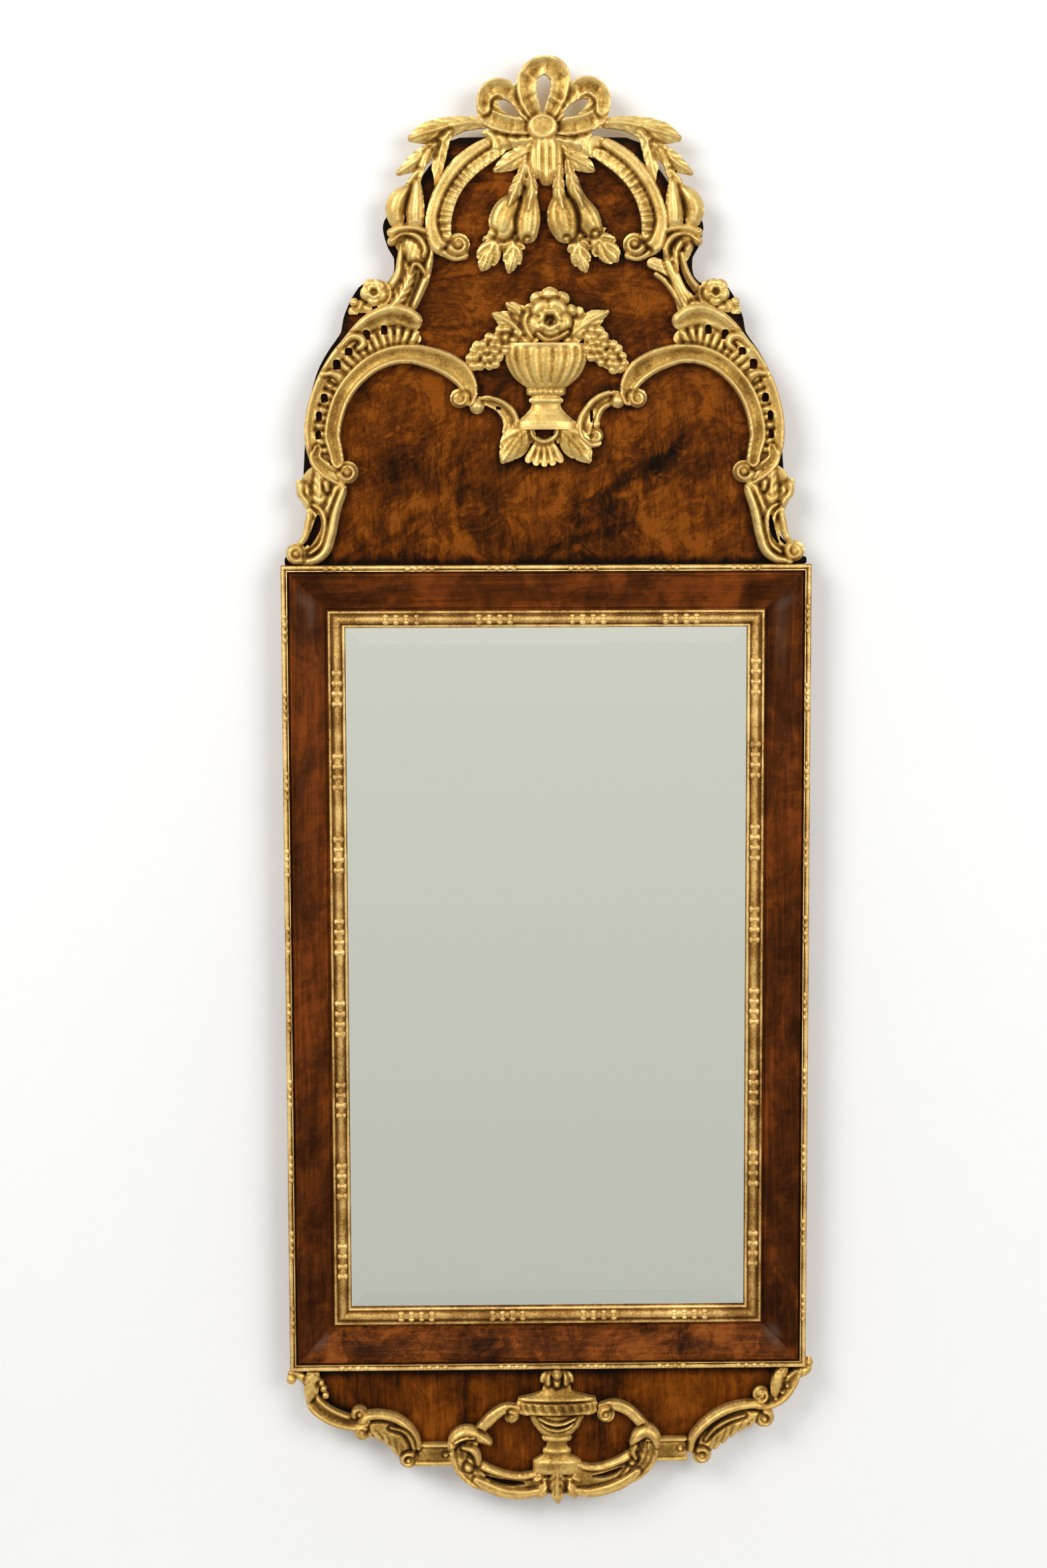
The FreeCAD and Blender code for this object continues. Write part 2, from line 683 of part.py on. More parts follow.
UPPER_BAND_SHARES = [
    (-1.03, 3.18, 0.12), (-1.08, 3.36, 0.12), (-1.06, 3.53, 0.12), (-1.01, 3.71, 0.12),
    (-0.91, 3.88, 0.12), (-0.77, 4.03, 0.12), (-0.62, 4.13, 0.12), (-0.47, 4.17, 0.11),
]
UPPER_CURL_SHARES = [(-1.10, 3.20, 0.07), (-1.00, 3.12, 0.07), (-0.89, 3.13, 0.06)]
UPPER_BALL_SHARES = [(-0.885, 3.22, 0.125)]
SPRAY_LEAF_SHARES = [
    (-0.46, 4.42, 0.045), (-0.80, 4.43, 0.05), (-1.02, 4.38, 0.09), (-1.20, 4.32, 0.09),
    (-1.34, 4.25, 0.015),
]
SPRAY_LOWER_LEAF_SHARES = [(-1.12, 4.22, 0.08), (-1.28, 4.06, 0.085), (-1.47, 3.92, 0.015)]
SPRAY_INNER_STEM_SHARES = [(-0.98, 4.34, 0.06), (-1.06, 4.15, 0.07), (-1.11, 3.94, 0.04)]
SPRAY_OUTER_STEM_SHARES = [
    (-1.12, 4.20, 0.06), (-1.24, 3.98, 0.05), (-1.31, 3.80, 0.06), (-1.32, 3.66, 0.07),
]
SPRAY_PEAR_SHARES = [
    (-1.38, 3.79, 0.03), (-1.45, 3.68, 0.07), (-1.50, 3.57, 0.095), (-1.51, 3.49, 0.08),
    (-1.51, 3.44, 0.03),
]
SPRAY_INNER_PEAR_SHARES = [
    (-1.32, 3.72, 0.05), (-1.31, 3.60, 0.09), (-1.30, 3.50, 0.095), (-1.30, 3.43, 0.06),
]
DROP_STALK_SHARES = [(-0.21, 3.96, 0.06), (-0.21, 3.80, 0.085), (-0.24, 3.66, 0.11)]
DROP_PEAR_SHARES = [
    (-0.28, 3.68, 0.06), (-0.37, 3.58, 0.12), (-0.42, 3.46, 0.145), (-0.45, 3.34, 0.10),
    (-0.46, 3.29, 0.04),
]
DROP_INNER_PEAR_SHARES = [
    (-0.19, 3.66, 0.06), (-0.185, 3.54, 0.09), (-0.18, 3.40, 0.11), (-0.19, 3.28, 0.09),
    (-0.20, 3.22, 0.03),
]
DROP_LEAF_SHARES = [(-0.44, 3.29, 0.09), (-0.54, 3.14, 0.12), (-0.61, 2.98, 0.02)]
DROP_INNER_LEAF_SHARES = [(-0.35, 3.26, 0.09), (-0.35, 3.12, 0.08), (-0.35, 2.96, 0.02)]
BRACKET_SHARES = [
    (-0.70, 1.62, 0.05), (-0.56, 1.625, 0.055), (-0.45, 1.565, 0.065), (-0.38, 1.47, 0.075),
    (-0.37, 1.37, 0.07),
]
BRACKET_BALL_SHARES = [(-0.72, 1.595, 0.07)]
PALM_SIDE_SHARES = [(-0.16, 1.30, 0.11), (-0.30, 1.20, 0.11), (-0.43, 1.08, 0.02)]
PALM_MIDDLE_SHARES = [(-0.01, 1.28, 0.09), (-0.01, 1.15, 0.155), (-0.01, 1.01, 0.05)]
CENTRE_LEAF_SHARES = [(-0.02, 4.22, 0.13), (-0.01, 4.04, 0.17), (0.0, 3.81, 0.08)]
CENTRE_SIDE_LEAF_SHARES = [(-0.10, 4.16, 0.06), (-0.30, 4.06, 0.09), (-0.49, 3.95, 0.02)]
BOW_KNOT_SHARES = [(-0.04, 4.385, 0.14)]
BOW_LEFT_LOOP_SHARES = [
    (-0.08, 4.36), (-0.30, 4.40), (-0.52, 4.42), (-0.64, 4.50), (-0.69, 4.62), (-0.64, 4.76),
    (-0.52, 4.84), (-0.38, 4.81), (-0.24, 4.70), (-0.12, 4.56), (-0.04, 4.44),
]
BOW_LEFT_EYE_SHARES = [(-0.46, 4.66), (-0.37, 4.64), (-0.28, 4.55), (-0.42, 4.53)]
BOW_RIGHT_LOOP_SHARES = [
    (0.06, 4.36), (0.30, 4.40), (0.48, 4.43), (0.58, 4.52), (0.61, 4.63), (0.56, 4.77),
    (0.44, 4.84), (0.30, 4.82), (0.18, 4.73), (0.08, 4.62), (0.02, 4.44),
]
BOW_RIGHT_EYE_SHARES = [(0.16, 4.51), (0.22, 4.61), (0.33, 4.67), (0.40, 4.64), (0.34, 4.57)]
BOW_TOP_LOOP_SHARES = [
    (-0.12, 4.42), (-0.19, 4.56), (-0.26, 4.68), (-0.29, 4.81), (-0.27, 4.93), (-0.16, 5.04),
    (0.0, 5.075), (0.12, 5.05), (0.21, 4.95), (0.23, 4.82), (0.17, 4.66), (0.08, 4.42),
]
BOW_TOP_EYE_SHARES = [(-0.09, 4.78), (-0.05, 4.89), (0.0, 4.88), (0.02, 4.80), (-0.04, 4.60)]
BOW_TAIL_SHARES = [(-0.05, 4.33, 0.06), (-0.34, 4.25, 0.075), (-0.58, 4.235, 0.09)]
URN_ROSE_SHARES = [(0.04, 2.49, 0.26)]
FLOWER_LEAF_SHARES = [(-0.14, 2.46, 0.08), (-0.32, 2.48, 0.09), (-0.48, 2.51, 0.015)]
GRAPES_SHARES = [
    (-0.10, 2.40, 0.07), (-0.34, 2.27, 0.09), (-0.54, 2.17, 0.14), (-0.70, 2.10, 0.09),
    (-0.79, 2.06, 0.03),
]


def arch_scroll(side):
    """The big C scroll: moulded inner band, plain rim with its lip, and a pierced comb between."""
    relief, web = size("scroll_relief"), size("web_relief")
    solids = [
        band(side_rows(ARCH_BAND_SHARES, side), MOULDED_SHARES, relief),
        band(side_rows(ARCH_RIM_SHARES, side), ROUND_SHARES, relief),
        band(side_rows(ARCH_WEB_SHARES, side), FLAT_SHARES, web, per_span=1),
        band(side_rows(ARCH_CURL_SHARES, side), ROUND_SHARES, relief),
        *bosses(ARCH_BALLS_SHARES, side, relief),
    ]
    cutters = [hole(*row, relief) for row in side_rows(ARCH_HOLES_SHARES, side)]
    return joined(solids, cutters)


def foot_scroll(side, neighbours):
    relief = size("scroll_relief")
    solids = [
        band(side_rows(FOOT_SHARES, side), MOULDED_SHARES, relief),
        *bosses(FOOT_BALL_SHARES, side, relief),
        band(side_rows(FOOT_LEAF_SHARES, side), RIDGE_SHARES, relief),
    ]
    return joined(solids, [slot(side_rows(FOOT_SLOT_SHARES, side), relief)], neighbours)


def acanthus(side, neighbours):
    """The leaf column above the arch, with the rose at its foot. The right one is pierced."""
    relief = size("scroll_relief")
    rows = ACANTHUS_SHARES if side == "left" else ACANTHUS_RIGHT_SHARES
    solids = [
        band(rows, MOULDED_SHARES, relief),
        *bosses(ROSE_SHARES, side, size("fruit_relief"), lobes=5, lobe_share=PETAL_SHARE),
        band(side_rows(ROSE_STEM_SHARES, side), RIDGE_SHARES, size("leaf_relief")),
        *bosses(ACANTHUS_CURL_SHARES, side, relief),
    ]
    cutters = [slot(ACANTHUS_SLOT_SHARES, relief)] if side == "right" else []
    return joined(solids, cutters, neighbours)


def upper_scroll(side, neighbours):
    relief = size("scroll_relief")
    solids = [
        band(side_rows(UPPER_BAND_SHARES, side), MOULDED_SHARES, relief),
        band(side_rows(UPPER_CURL_SHARES, side), ROUND_SHARES, relief),
        *bosses(UPPER_BALL_SHARES, side, relief),
    ]
    return joined(solids, (), neighbours)


def fruit_spray(side, neighbours):
    """Two laurel leaves from the bow, their stems, and the pears that hang from them."""
    leaf, fruit = size("leaf_relief"), size("fruit_relief")
    solids = [
        band(side_rows(SPRAY_LEAF_SHARES, side), RIDGE_SHARES, leaf),
        band(side_rows(SPRAY_LOWER_LEAF_SHARES, side), RIDGE_SHARES, leaf),
        band(side_rows(SPRAY_INNER_STEM_SHARES, side), ROUND_SHARES, leaf),
        band(side_rows(SPRAY_OUTER_STEM_SHARES, side), ROUND_SHARES, leaf),
        band(side_rows(SPRAY_PEAR_SHARES, side), ROUND_SHARES, fruit),
        band(side_rows(SPRAY_INNER_PEAR_SHARES, side), ROUND_SHARES, fruit),
    ]
    return joined(solids, (), neighbours)


def ribbon_bow(neighbours):
    relief, tail = size("bow_relief"), size("leaf_relief")
    loop = size("scroll_relief")
    solids = [
        *bosses(BOW_KNOT_SHARES, "left", relief, lobes=4),
        lobe(BOW_LEFT_LOOP_SHARES, loop),
        lobe(BOW_RIGHT_LOOP_SHARES, loop),
        lobe(BOW_TOP_LOOP_SHARES, loop),
        band(BOW_TAIL_SHARES, RIDGE_SHARES, tail),
        band(turned(BOW_TAIL_SHARES), RIDGE_SHARES, tail),
    ]
    eyes = (BOW_LEFT_EYE_SHARES, BOW_RIGHT_EYE_SHARES, BOW_TOP_EYE_SHARES)
    return joined(solids, [punch(eye, relief) for eye in eyes], neighbours)


def centre_leaf(neighbours):
    solids = [band(CENTRE_LEAF_SHARES, ROUND_SHARES, size("scroll_relief"))]
    for side in ("left", "right"):
        solids.append(
            band(side_rows(CENTRE_SIDE_LEAF_SHARES, side), RIDGE_SHARES, size("leaf_relief")))
    return joined(solids, (), neighbours)


def fruit_drop(side, neighbours):
    leaf, fruit = size("leaf_relief"), size("fruit_relief")
    solids = [
        band(side_rows(DROP_STALK_SHARES, side), ROUND_SHARES, leaf),
        band(side_rows(DROP_PEAR_SHARES, side), ROUND_SHARES, fruit),
        band(side_rows(DROP_INNER_PEAR_SHARES, side), ROUND_SHARES, fruit),
        band(side_rows(DROP_LEAF_SHARES, side), RIDGE_SHARES, leaf),
        band(side_rows(DROP_INNER_LEAF_SHARES, side), RIDGE_SHARES, leaf),
    ]
    return joined(solids, (), neighbours)


def half_turned(axis_x, profile_shares, relief, flutes=0, flute_share=0.94):
    """A vase carved in the half round: profile rows are (z, half width) in module shares."""
    widest = max(row[1] for row in profile_shares)
    steps = max(flutes * 2, 8)
    rings = []
    for z, half in profile_shares:
        ring = []
        for k in range(steps + 1):
            angle = math.pi * k / steps
            dip = flute_share if flutes and k % 2 and half > widest / 2 else 1.0
            ring.append(FreeCAD.Vector(
                SPREAD * (axis_x - math.cos(angle) * half * (1 if k in (0, steps) else dip)),
                BASE_Y - relief * math.sin(angle) * half / widest * dip,
                MODULE * z))
        rings.append(ring)
    return faceted(rings)


CREST_URN_SHARES = [
    (1.41, 0.31), (1.46, 0.30), (1.53, 0.20), (1.60, 0.145), (1.67, 0.15), (1.70, 0.19),
    (1.78, 0.20), (1.82, 0.24), (1.92, 0.345), (2.02, 0.40), (2.13, 0.415), (2.23, 0.38),
]
APRON_URN_SHARES = [
    (-1.12, 0.27), (-1.01, 0.27), (-0.98, 0.19), (-0.91, 0.10), (-0.85, 0.12), (-0.77, 0.155),
    (-0.70, 0.19), (-0.60, 0.24), (-0.49, 0.31), (-0.47, 0.40), (-0.37, 0.42), (-0.33, 0.38),
    (-0.29, 0.24), (-0.22, 0.12), (-0.19, 0.125), (-0.15, 0.19), (-0.10, 0.13), (-0.08, 0.055),
    (-0.04, 0.07), (-0.004, 0.035),
]
APRON_URN_AXIS_SHARE = 0.09


def urn_flowers(neighbours):
    fruit, leaf = size("fruit_relief"), size("leaf_relief")
    solids = bosses(URN_ROSE_SHARES, "left", fruit, lobes=7, lobe_share=PETAL_SHARE)
    for side in ("left", "right"):
        solids.append(band(side_rows(FLOWER_LEAF_SHARES, side), RIDGE_SHARES, leaf))
        solids.append(band(side_rows(GRAPES_SHARES, side), ROUND_SHARES, fruit))
    return joined(solids, (), neighbours)


def bracket_scroll(side, neighbours):
    relief = size("leaf_relief")
    solids = [
        band(side_rows(BRACKET_SHARES, side), MOULDED_SHARES, relief),
        *bosses(BRACKET_BALL_SHARES, side, relief),
    ]
    return joined(solids, (), neighbours)


def palmette(neighbours):
    relief = size("leaf_relief")
    solids = [band(PALM_MIDDLE_SHARES, ROUND_SHARES, relief)]
    for side in ("left", "right"):
        solids.append(band(side_rows(PALM_SIDE_SHARES, side), RIDGE_SHARES, relief))
    return joined(solids, (), neighbours)


def make_crest_carving():
    arches = [arch_scroll(side) for side in ("left", "right")]
    for side, arch in zip(("left", "right"), arches):
        add_shape(f"arch_scroll_{side}", arch, frame_top)
        add_shape(f"foot_scroll_{side}", foot_scroll(side, [arch]), frame_top)
    uppers = []
    sprays = []
    for side, arch in zip(("left", "right"), arches):
        column = acanthus(side, [arch])
        upper = upper_scroll(side, [column])
        spray = fruit_spray(side, [upper, column])
        add_shape(f"acanthus_{side}", column, frame_top)
        add_shape(f"upper_scroll_{side}", upper, frame_top)
        add_shape(f"fruit_spray_{side}", spray, frame_top)
        uppers.append(upper)
        sprays.append(spray)
    bow = ribbon_bow(uppers + sprays)
    add_shape("ribbon_bow", bow, frame_top)
    leaf = centre_leaf(uppers + sprays + [bow])
    add_shape("centre_leaf", leaf, frame_top)
    for side in ("left", "right"):
        add_shape(f"fruit_drop_{side}", fruit_drop(side, [leaf, *uppers]), frame_top)
    urn = half_turned(0, CREST_URN_SHARES, size("urn_relief"), flutes=7)
    add_shape("crest_urn", urn, frame_top)
    add_shape("urn_flowers", urn_flowers([urn, *arches]), frame_top)
    brackets = [bracket_scroll(side, [urn, *arches]) for side in ("left", "right")]
    for side, bracket in zip(("left", "right"), brackets):
        add_shape(f"bracket_scroll_{side}", bracket, frame_top)
    add_shape("palmette", palmette([urn, *brackets]), frame_top)


# Apron carving, in shares of the module below the frame. The two sides differ, as carved.
CORNER_LEFT_SHARES = [
    (-2.73, -0.12, 0.035), (-2.62, -0.09, 0.04), (-2.53, -0.15, 0.05), (-2.47, -0.28, 0.07),
    (-2.39, -0.41, 0.075), (-2.25, -0.52, 0.075), (-2.08, -0.57, 0.07), (-1.95, -0.55, 0.07),
]
CORNER_LEAF_LEFT_SHARES = [(-2.43, -0.05, 0.04), (-2.44, -0.17, 0.075), (-2.47, -0.30, 0.07)]
CORNER_RIGHT_SHARES = [
    (2.765, 0.045, 0.022), (2.735, -0.01, 0.028), (2.66, -0.05, 0.04), (2.56, -0.11, 0.07),
    (2.48, -0.21, 0.085), (2.40, -0.31, 0.075), (2.29, -0.36, 0.06),
]
CORNER_LEAF_RIGHT_SHARES = [(2.46, -0.045, 0.04), (2.43, -0.14, 0.07), (2.42, -0.28, 0.07)]
CORNER_BALL_LEFT_SHARES = [(-1.965, -0.49, 0.09)]
CORNER_BALL_RIGHT_SHARES = [(2.24, -0.31, 0.09)]
CHAIN_LEFT_SHARES = [
    (-1.95, -0.68, 0.06), (-1.89, -0.58, 0.07), (-1.78, -0.58, 0.09), (-1.65, -0.62, 0.11),
    (-1.52, -0.74, 0.12), (-1.455, -0.90, 0.09),
]
CHAIN_RIGHT_SHARES = [
    (2.26, -0.56, 0.10), (2.18, -0.48, 0.085), (2.04, -0.51, 0.095), (1.90, -0.57, 0.115),
    (1.75, -0.67, 0.12), (1.62, -0.80, 0.11), (1.55, -0.92, 0.08),
]
CHAIN_BALLS_LEFT_SHARES = [(-1.93, -0.70, 0.075), (-1.46, -0.97, 0.105)]
CHAIN_BALLS_RIGHT_SHARES = [(2.27, -0.56, 0.11), (1.61, -0.95, 0.11)]
STRAP_PIN_LEFT_SHARES = (-1.09, -0.93)
STRAP_PIN_RIGHT_SHARES = (1.44, -0.88)
STRAP_LEFT_SHARES = [(-1.40, -0.915, 0.125), (-1.20, -0.925, 0.125), (-1.00, -0.925, 0.115)]
STRAP_RIGHT_SHARES = [(1.50, -0.89, 0.125), (1.32, -0.885, 0.13), (1.14, -0.885, 0.13)]
OVAL_HANDLE_LEFT_SHARES = [
    (-0.40, -0.45, 0.045), (-0.52, -0.47, 0.06), (-0.65, -0.57, 0.075), (-0.77, -0.68, 0.07),
    (-0.90, -0.71, 0.08), (-1.00, -0.80, 0.09),
]
OVAL_BALLS_LEFT_SHARES = [(-0.385, -0.515, 0.08), (-0.64, -0.76, 0.055)]
OVAL_BALLS_RIGHT_SHARES = [(0.60, -0.49, 0.10)]
OVAL_TENDRIL_SHARES = [(-0.80, -0.73, 0.05), (-0.64, -0.765, 0.045)]
OVAL_SIDE_LEFT_SHARES = [
    (-0.93, -0.76, 0.09), (-0.92, -0.94, 0.13), (-0.86, -1.10, 0.12), (-0.76, -1.20, 0.10),
]
OVAL_INNER_LEFT_SHARES = [
    (-0.76, -1.08, 0.05), (-0.60, -1.16, 0.045), (-0.42, -1.19, 0.04), (-0.16, -1.18, 0.04),
]
OVAL_OUTER_LEFT_SHARES = [
    (-0.84, -1.17, 0.075), (-0.66, -1.29, 0.065), (-0.45, -1.345, 0.06), (-0.22, -1.365, 0.055),
    (-0.07, -1.345, 0.05),
]
OVAL_HANDLE_RIGHT_SHARES = [
    (0.60, -0.42, 0.05), (0.75, -0.43, 0.065), (0.89, -0.52, 0.08), (0.99, -0.66, 0.09),
    (1.08, -0.76, 0.10),
]
OVAL_SIDE_RIGHT_SHARES = [
    (1.03, -0.74, 0.12), (1.04, -0.90, 0.13), (0.97, -1.06, 0.10), (0.86, -1.18, 0.08),
]
OVAL_INNER_RIGHT_SHARES = [
    (0.94, -0.92, 0.05), (0.78, -1.02, 0.045), (0.58, -1.085, 0.04), (0.34, -1.07, 0.04),
]
OVAL_OUTER_RIGHT_SHARES = [
    (0.94, -1.12, 0.07), (0.80, -1.24, 0.06), (0.62, -1.31, 0.055), (0.42, -1.34, 0.05),
    (0.24, -1.34, 0.045),
]
DROP_MIDDLE_SHARES = [(0.08, -1.14, 0.10), (0.09, -1.28, 0.10), (0.10, -1.46, 0.03)]
DROP_ROCAILLE_SHARES = [(-0.20, -1.19, 0.085), (0.26, -1.22, 0.115)]
DROP_ROOT_LEFT_SHARES = [(0.02, -1.17, 0.05), (-0.18, -1.18, 0.06)]
DROP_ROOT_RIGHT_SHARES = [(0.14, -1.18, 0.06), (0.26, -1.20, 0.06)]
APRON_RAIL_CLEARANCE_SHARE = 0.003


def frame_bottom_block():
    """The frame above the apron, which the apron carving is cut back to."""
    clearance = MODULE * APRON_RAIL_CLEARANCE_SHARE
    width = size("frame_width") + clearance * 2
    return Part.makeBox(
        width, size("bead_front") + clearance, size("sight_border"),
        FreeCAD.Vector(-width / 2, -size("bead_front") - clearance, -clearance))


def oval_half(side, below):
    relief = size("scroll_relief")
    if side == "left":
        handle, flank = OVAL_HANDLE_LEFT_SHARES, OVAL_SIDE_LEFT_SHARES
        inner, outer = OVAL_INNER_LEFT_SHARES, OVAL_OUTER_LEFT_SHARES
        curls = bosses(OVAL_BALLS_LEFT_SHARES, "left", relief)
        curls.append(band(OVAL_TENDRIL_SHARES, ROUND_SHARES, relief))
    else:
        handle, flank = OVAL_HANDLE_RIGHT_SHARES, OVAL_SIDE_RIGHT_SHARES
        inner, outer = OVAL_INNER_RIGHT_SHARES, OVAL_OUTER_RIGHT_SHARES
        curls = bosses(OVAL_BALLS_RIGHT_SHARES, "left", relief)
    solids = [
        band(handle, MOULDED_SHARES, relief), band(flank, ROUND_SHARES, relief),
        band(inner, ROUND_SHARES, size("leaf_relief")), band(outer, ROUND_SHARES, relief), *curls,
    ]
    return joined(solids, (), below)


def apron_chain(side, neighbours):
    """The leafy C scroll and the plain strap that joins it to the oval, with the strap's pin."""
    relief, thin = size("scroll_relief"), size("web_relief")
    if side == "left":
        chain, strap = CHAIN_LEFT_SHARES, STRAP_LEFT_SHARES
        balls, pin_place = CHAIN_BALLS_LEFT_SHARES, STRAP_PIN_LEFT_SHARES
    else:
        chain, strap = CHAIN_RIGHT_SHARES, STRAP_RIGHT_SHARES
        balls, pin_place = CHAIN_BALLS_RIGHT_SHARES, STRAP_PIN_RIGHT_SHARES
    pin = boss(*pin_place, size("strap_pin_radius") / MODULE, size("leaf_relief"))
    solids = [
        band(chain, MOULDED_SHARES, relief), band(strap, FLAT_SHARES, thin, per_span=1),
        pin, *bosses(balls, "left", relief),
    ]
    return joined(solids, (), neighbours)


def apron_corner(side, neighbours):
    relief, thin = size("scroll_relief"), size("leaf_relief")
    if side == "left":
        scroll, leaf, ball = CORNER_LEFT_SHARES, CORNER_LEAF_LEFT_SHARES, CORNER_BALL_LEFT_SHARES
    else:
        scroll, leaf, ball = CORNER_RIGHT_SHARES, CORNER_LEAF_RIGHT_SHARES, CORNER_BALL_RIGHT_SHARES
    solids = [
        band(scroll, ROUND_SHARES, thin), band(leaf, RIDGE_SHARES, relief),
        *bosses(ball, "left", relief),
    ]
    return joined(solids, (), neighbours)


def apron_drop(neighbours):
    relief = size("scroll_relief")
    solids = [
        band(DROP_MIDDLE_SHARES, RIDGE_SHARES, size("fruit_relief")),
        band(DROP_ROOT_LEFT_SHARES, ROUND_SHARES, relief),
        band(DROP_ROOT_RIGHT_SHARES, ROUND_SHARES, relief),
        *bosses(DROP_ROCAILLE_SHARES, "left", relief, lobes=4, lobe_share=PETAL_SHARE),
    ]
    return joined(solids, (), neighbours)


def make_apron_carving():
    above = frame_bottom_block()
    urn = joined([half_turned(APRON_URN_AXIS_SHARE, APRON_URN_SHARES, size("urn_relief"),
                              flutes=7)], (), [above])
    ovals = {side: oval_half(side, [urn, above]) for side in ("left", "right")}
    add_shape("apron_urn", urn, frame_bottom)
    for side, oval in ovals.items():
        chain = apron_chain(side, [oval, above])
        corner = apron_corner(side, [chain, above])
        add_shape(f"apron_oval_{side}", oval, frame_bottom)
        add_shape(f"apron_chain_{side}", chain, frame_bottom)
        add_shape(f"apron_corner_{side}", corner, frame_bottom)
    add_shape("apron_drop", apron_drop([urn, *ovals.values()]), frame_bottom)


def headed_pin(length, radius, head_radius, head_height, sides=6):
    """A nail or screw along -Y from its head at y = 0."""
    across_shares = [(0, head_radius), (head_height, radius), (length, radius)]
    return faceted([
        [FreeCAD.Vector(math.cos(math.pi * 2 * k / sides) * reach, -depth,
                        math.sin(math.pi * 2 * k / sides) * reach) for k in range(sides)]
        for depth, reach in across_shares])


def make_backboard_nails():
    """Small nails round the backboards, driven into the floor of the rebate."""
    edge = carcass_border.value - size("back_rebate") / 2
    across = size("frame_width") / 2 - edge
    tall = size("frame_height") / 2 - edge
    spacing = size("nail_spacing")
    places = []
    rows = max(2, round(2 * tall / spacing))
    for k in range(rows):
        z = tall - 2 * tall * (k + 0.5) / rows
        places += [(-across, z), (across, z)]
    columns = max(2, 2 * round(across / spacing))
    for k in range(columns):
        x = across - 2 * across * (k + 0.5) / columns
        places += [(x, tall), (x, -tall)]
    nails = []
    for x, z in places:
        nail = headed_pin(size("nail_length"), size("nail_radius"),
                          size("nail_head_radius"), size("nail_head_thick"))
        nail.translate(FreeCAD.Vector(x, 0, z))
        nails.append(nail)
    add_shape("backboard_nails", Part.makeCompound(nails), frame_middle)


def make_batten_screws():
    start = size("board_gap") - size("batten_thick")
    inset = size("screw_inset")
    lap = size("batten_lap")
    rise, drop = size("crest_batten_rise"), size("apron_batten_drop")
    tall = size("frame_height")
    crest_x, apron_x = size("crest_batten_offset"), size("apron_batten_offset")
    places = []
    for sign in (-1, 1):
        places += [(sign * crest_x, z) for z in (inset - lap, -inset, inset, rise / 2, rise - inset)]
        places += [(sign * apron_x, z - tall) for z in (lap - inset, inset, -inset, inset - drop)]
    screws = []
    for x, z in places:
        screw = headed_pin(size("screw_length"), size("screw_radius"),
                           size("screw_head_radius"), size("screw_head_height"))
        screw.translate(FreeCAD.Vector(x, -start, z))
        screws.append(screw)
    add_shape("batten_screws", Part.makeCompound(screws), frame_top)


def make_wedges():
    """Short pine blocks glued behind the glass, against the inner edge of the carcass."""
    half_wide = size("frame_width") / 2 - carcass_border.value
    half_tall = size("frame_height") / 2 - carcass_border.value
    back = size("glass_thick") - size("carcass_thick")
    wide, deep, run = size("wedge_width"), size("wedge_depth"), size("wedge_length")
    along_shares = {"side": (-0.7, 0.0, 0.7), "end": (-0.55, 0.55)}
    wedges = []
    for reach, length, turns, shares in (
        (half_tall, half_wide, (0, 180), along_shares["end"]),
        (half_wide, half_tall, (90, 270), along_shares["side"]),
    ):
        section = Part.makePolygon([
            FreeCAD.Vector(-run / 2, back, reach), FreeCAD.Vector(-run / 2, back, reach - wide),
            FreeCAD.Vector(-run / 2, back + deep, reach), FreeCAD.Vector(-run / 2, back, reach)])
        block = Part.Face(section).extrude(FreeCAD.Vector(run, 0, 0))
        for turn in turns:
            for share in shares:
                wedge = block.copy()
                wedge.translate(FreeCAD.Vector(length * share, 0, 0))
                wedge.rotate(FreeCAD.Vector(0, 0, 0), FreeCAD.Vector(0, 1, 0), turn)
                wedges.append(wedge)
    add_shape("glass_wedges", Part.makeCompound(wedges), frame_middle)


def wire_solid(points, frames, radius, sides, closed=False):
    """Wire of a given radius through points, each with its own two directions across."""
    rings = [[
        at + along * (math.cos(math.pi * 2 * k / sides) * radius)
        + up * (math.sin(math.pi * 2 * k / sides) * radius) for k in range(sides)]
        for at, (along, up) in zip(points, frames)]
    if not closed:
        return faceted(rings)
    half = len(rings) // 2
    first = faceted(rings[:half + 1])
    second = faceted(rings[half:] + rings[:1])
    return first.fuse(second).removeSplitter()


def make_hanger():
    """A wrought ring in a staple driven into the back of the crest board."""
    ring, wire = size("ring_radius"), size("ring_wire")
    staple, room = size("staple_wire"), size("running_clearance")
    wire_y = size("ring_standoff") - size("board_gap")
    forward = FreeCAD.Vector(0, 1, 0)
    steps, flats = 32, 8
    turns = [math.pi * 2 * k / steps for k in range(steps)]
    outward = [FreeCAD.Vector(math.sin(turn), 0, math.cos(turn)) for turn in turns]
    centre = FreeCAD.Vector(0, wire_y, wire - ring)
    shape = wire_solid([centre + out * ring for out in outward],
                       [(out, forward) for out in outward], wire, flats, closed=True)
    add_shape("hanger_ring", shape, NONE)
    eye = wire + room + staple
    run = wire_y + size("board_gap") + size("staple_bite")
    bends, sideways = 8, FreeCAD.Vector(1, 0, 0)
    outward = [FreeCAD.Vector(0, math.sin(math.pi * k / bends), math.cos(math.pi * k / bends))
               for k in range(bends + 1)]
    leg = FreeCAD.Vector(0, -run, 0)
    pivot = FreeCAD.Vector(0, wire_y, wire - ring * 2)
    bow = [pivot + out * eye for out in outward]
    frames = [(out, sideways) for out in (outward[0], *outward, outward[-1])]
    shape = wire_solid([bow[0] + leg, *bow, bow[-1] + leg], frames, staple, flats)
    add_shape("hanger_staple", shape, NONE)


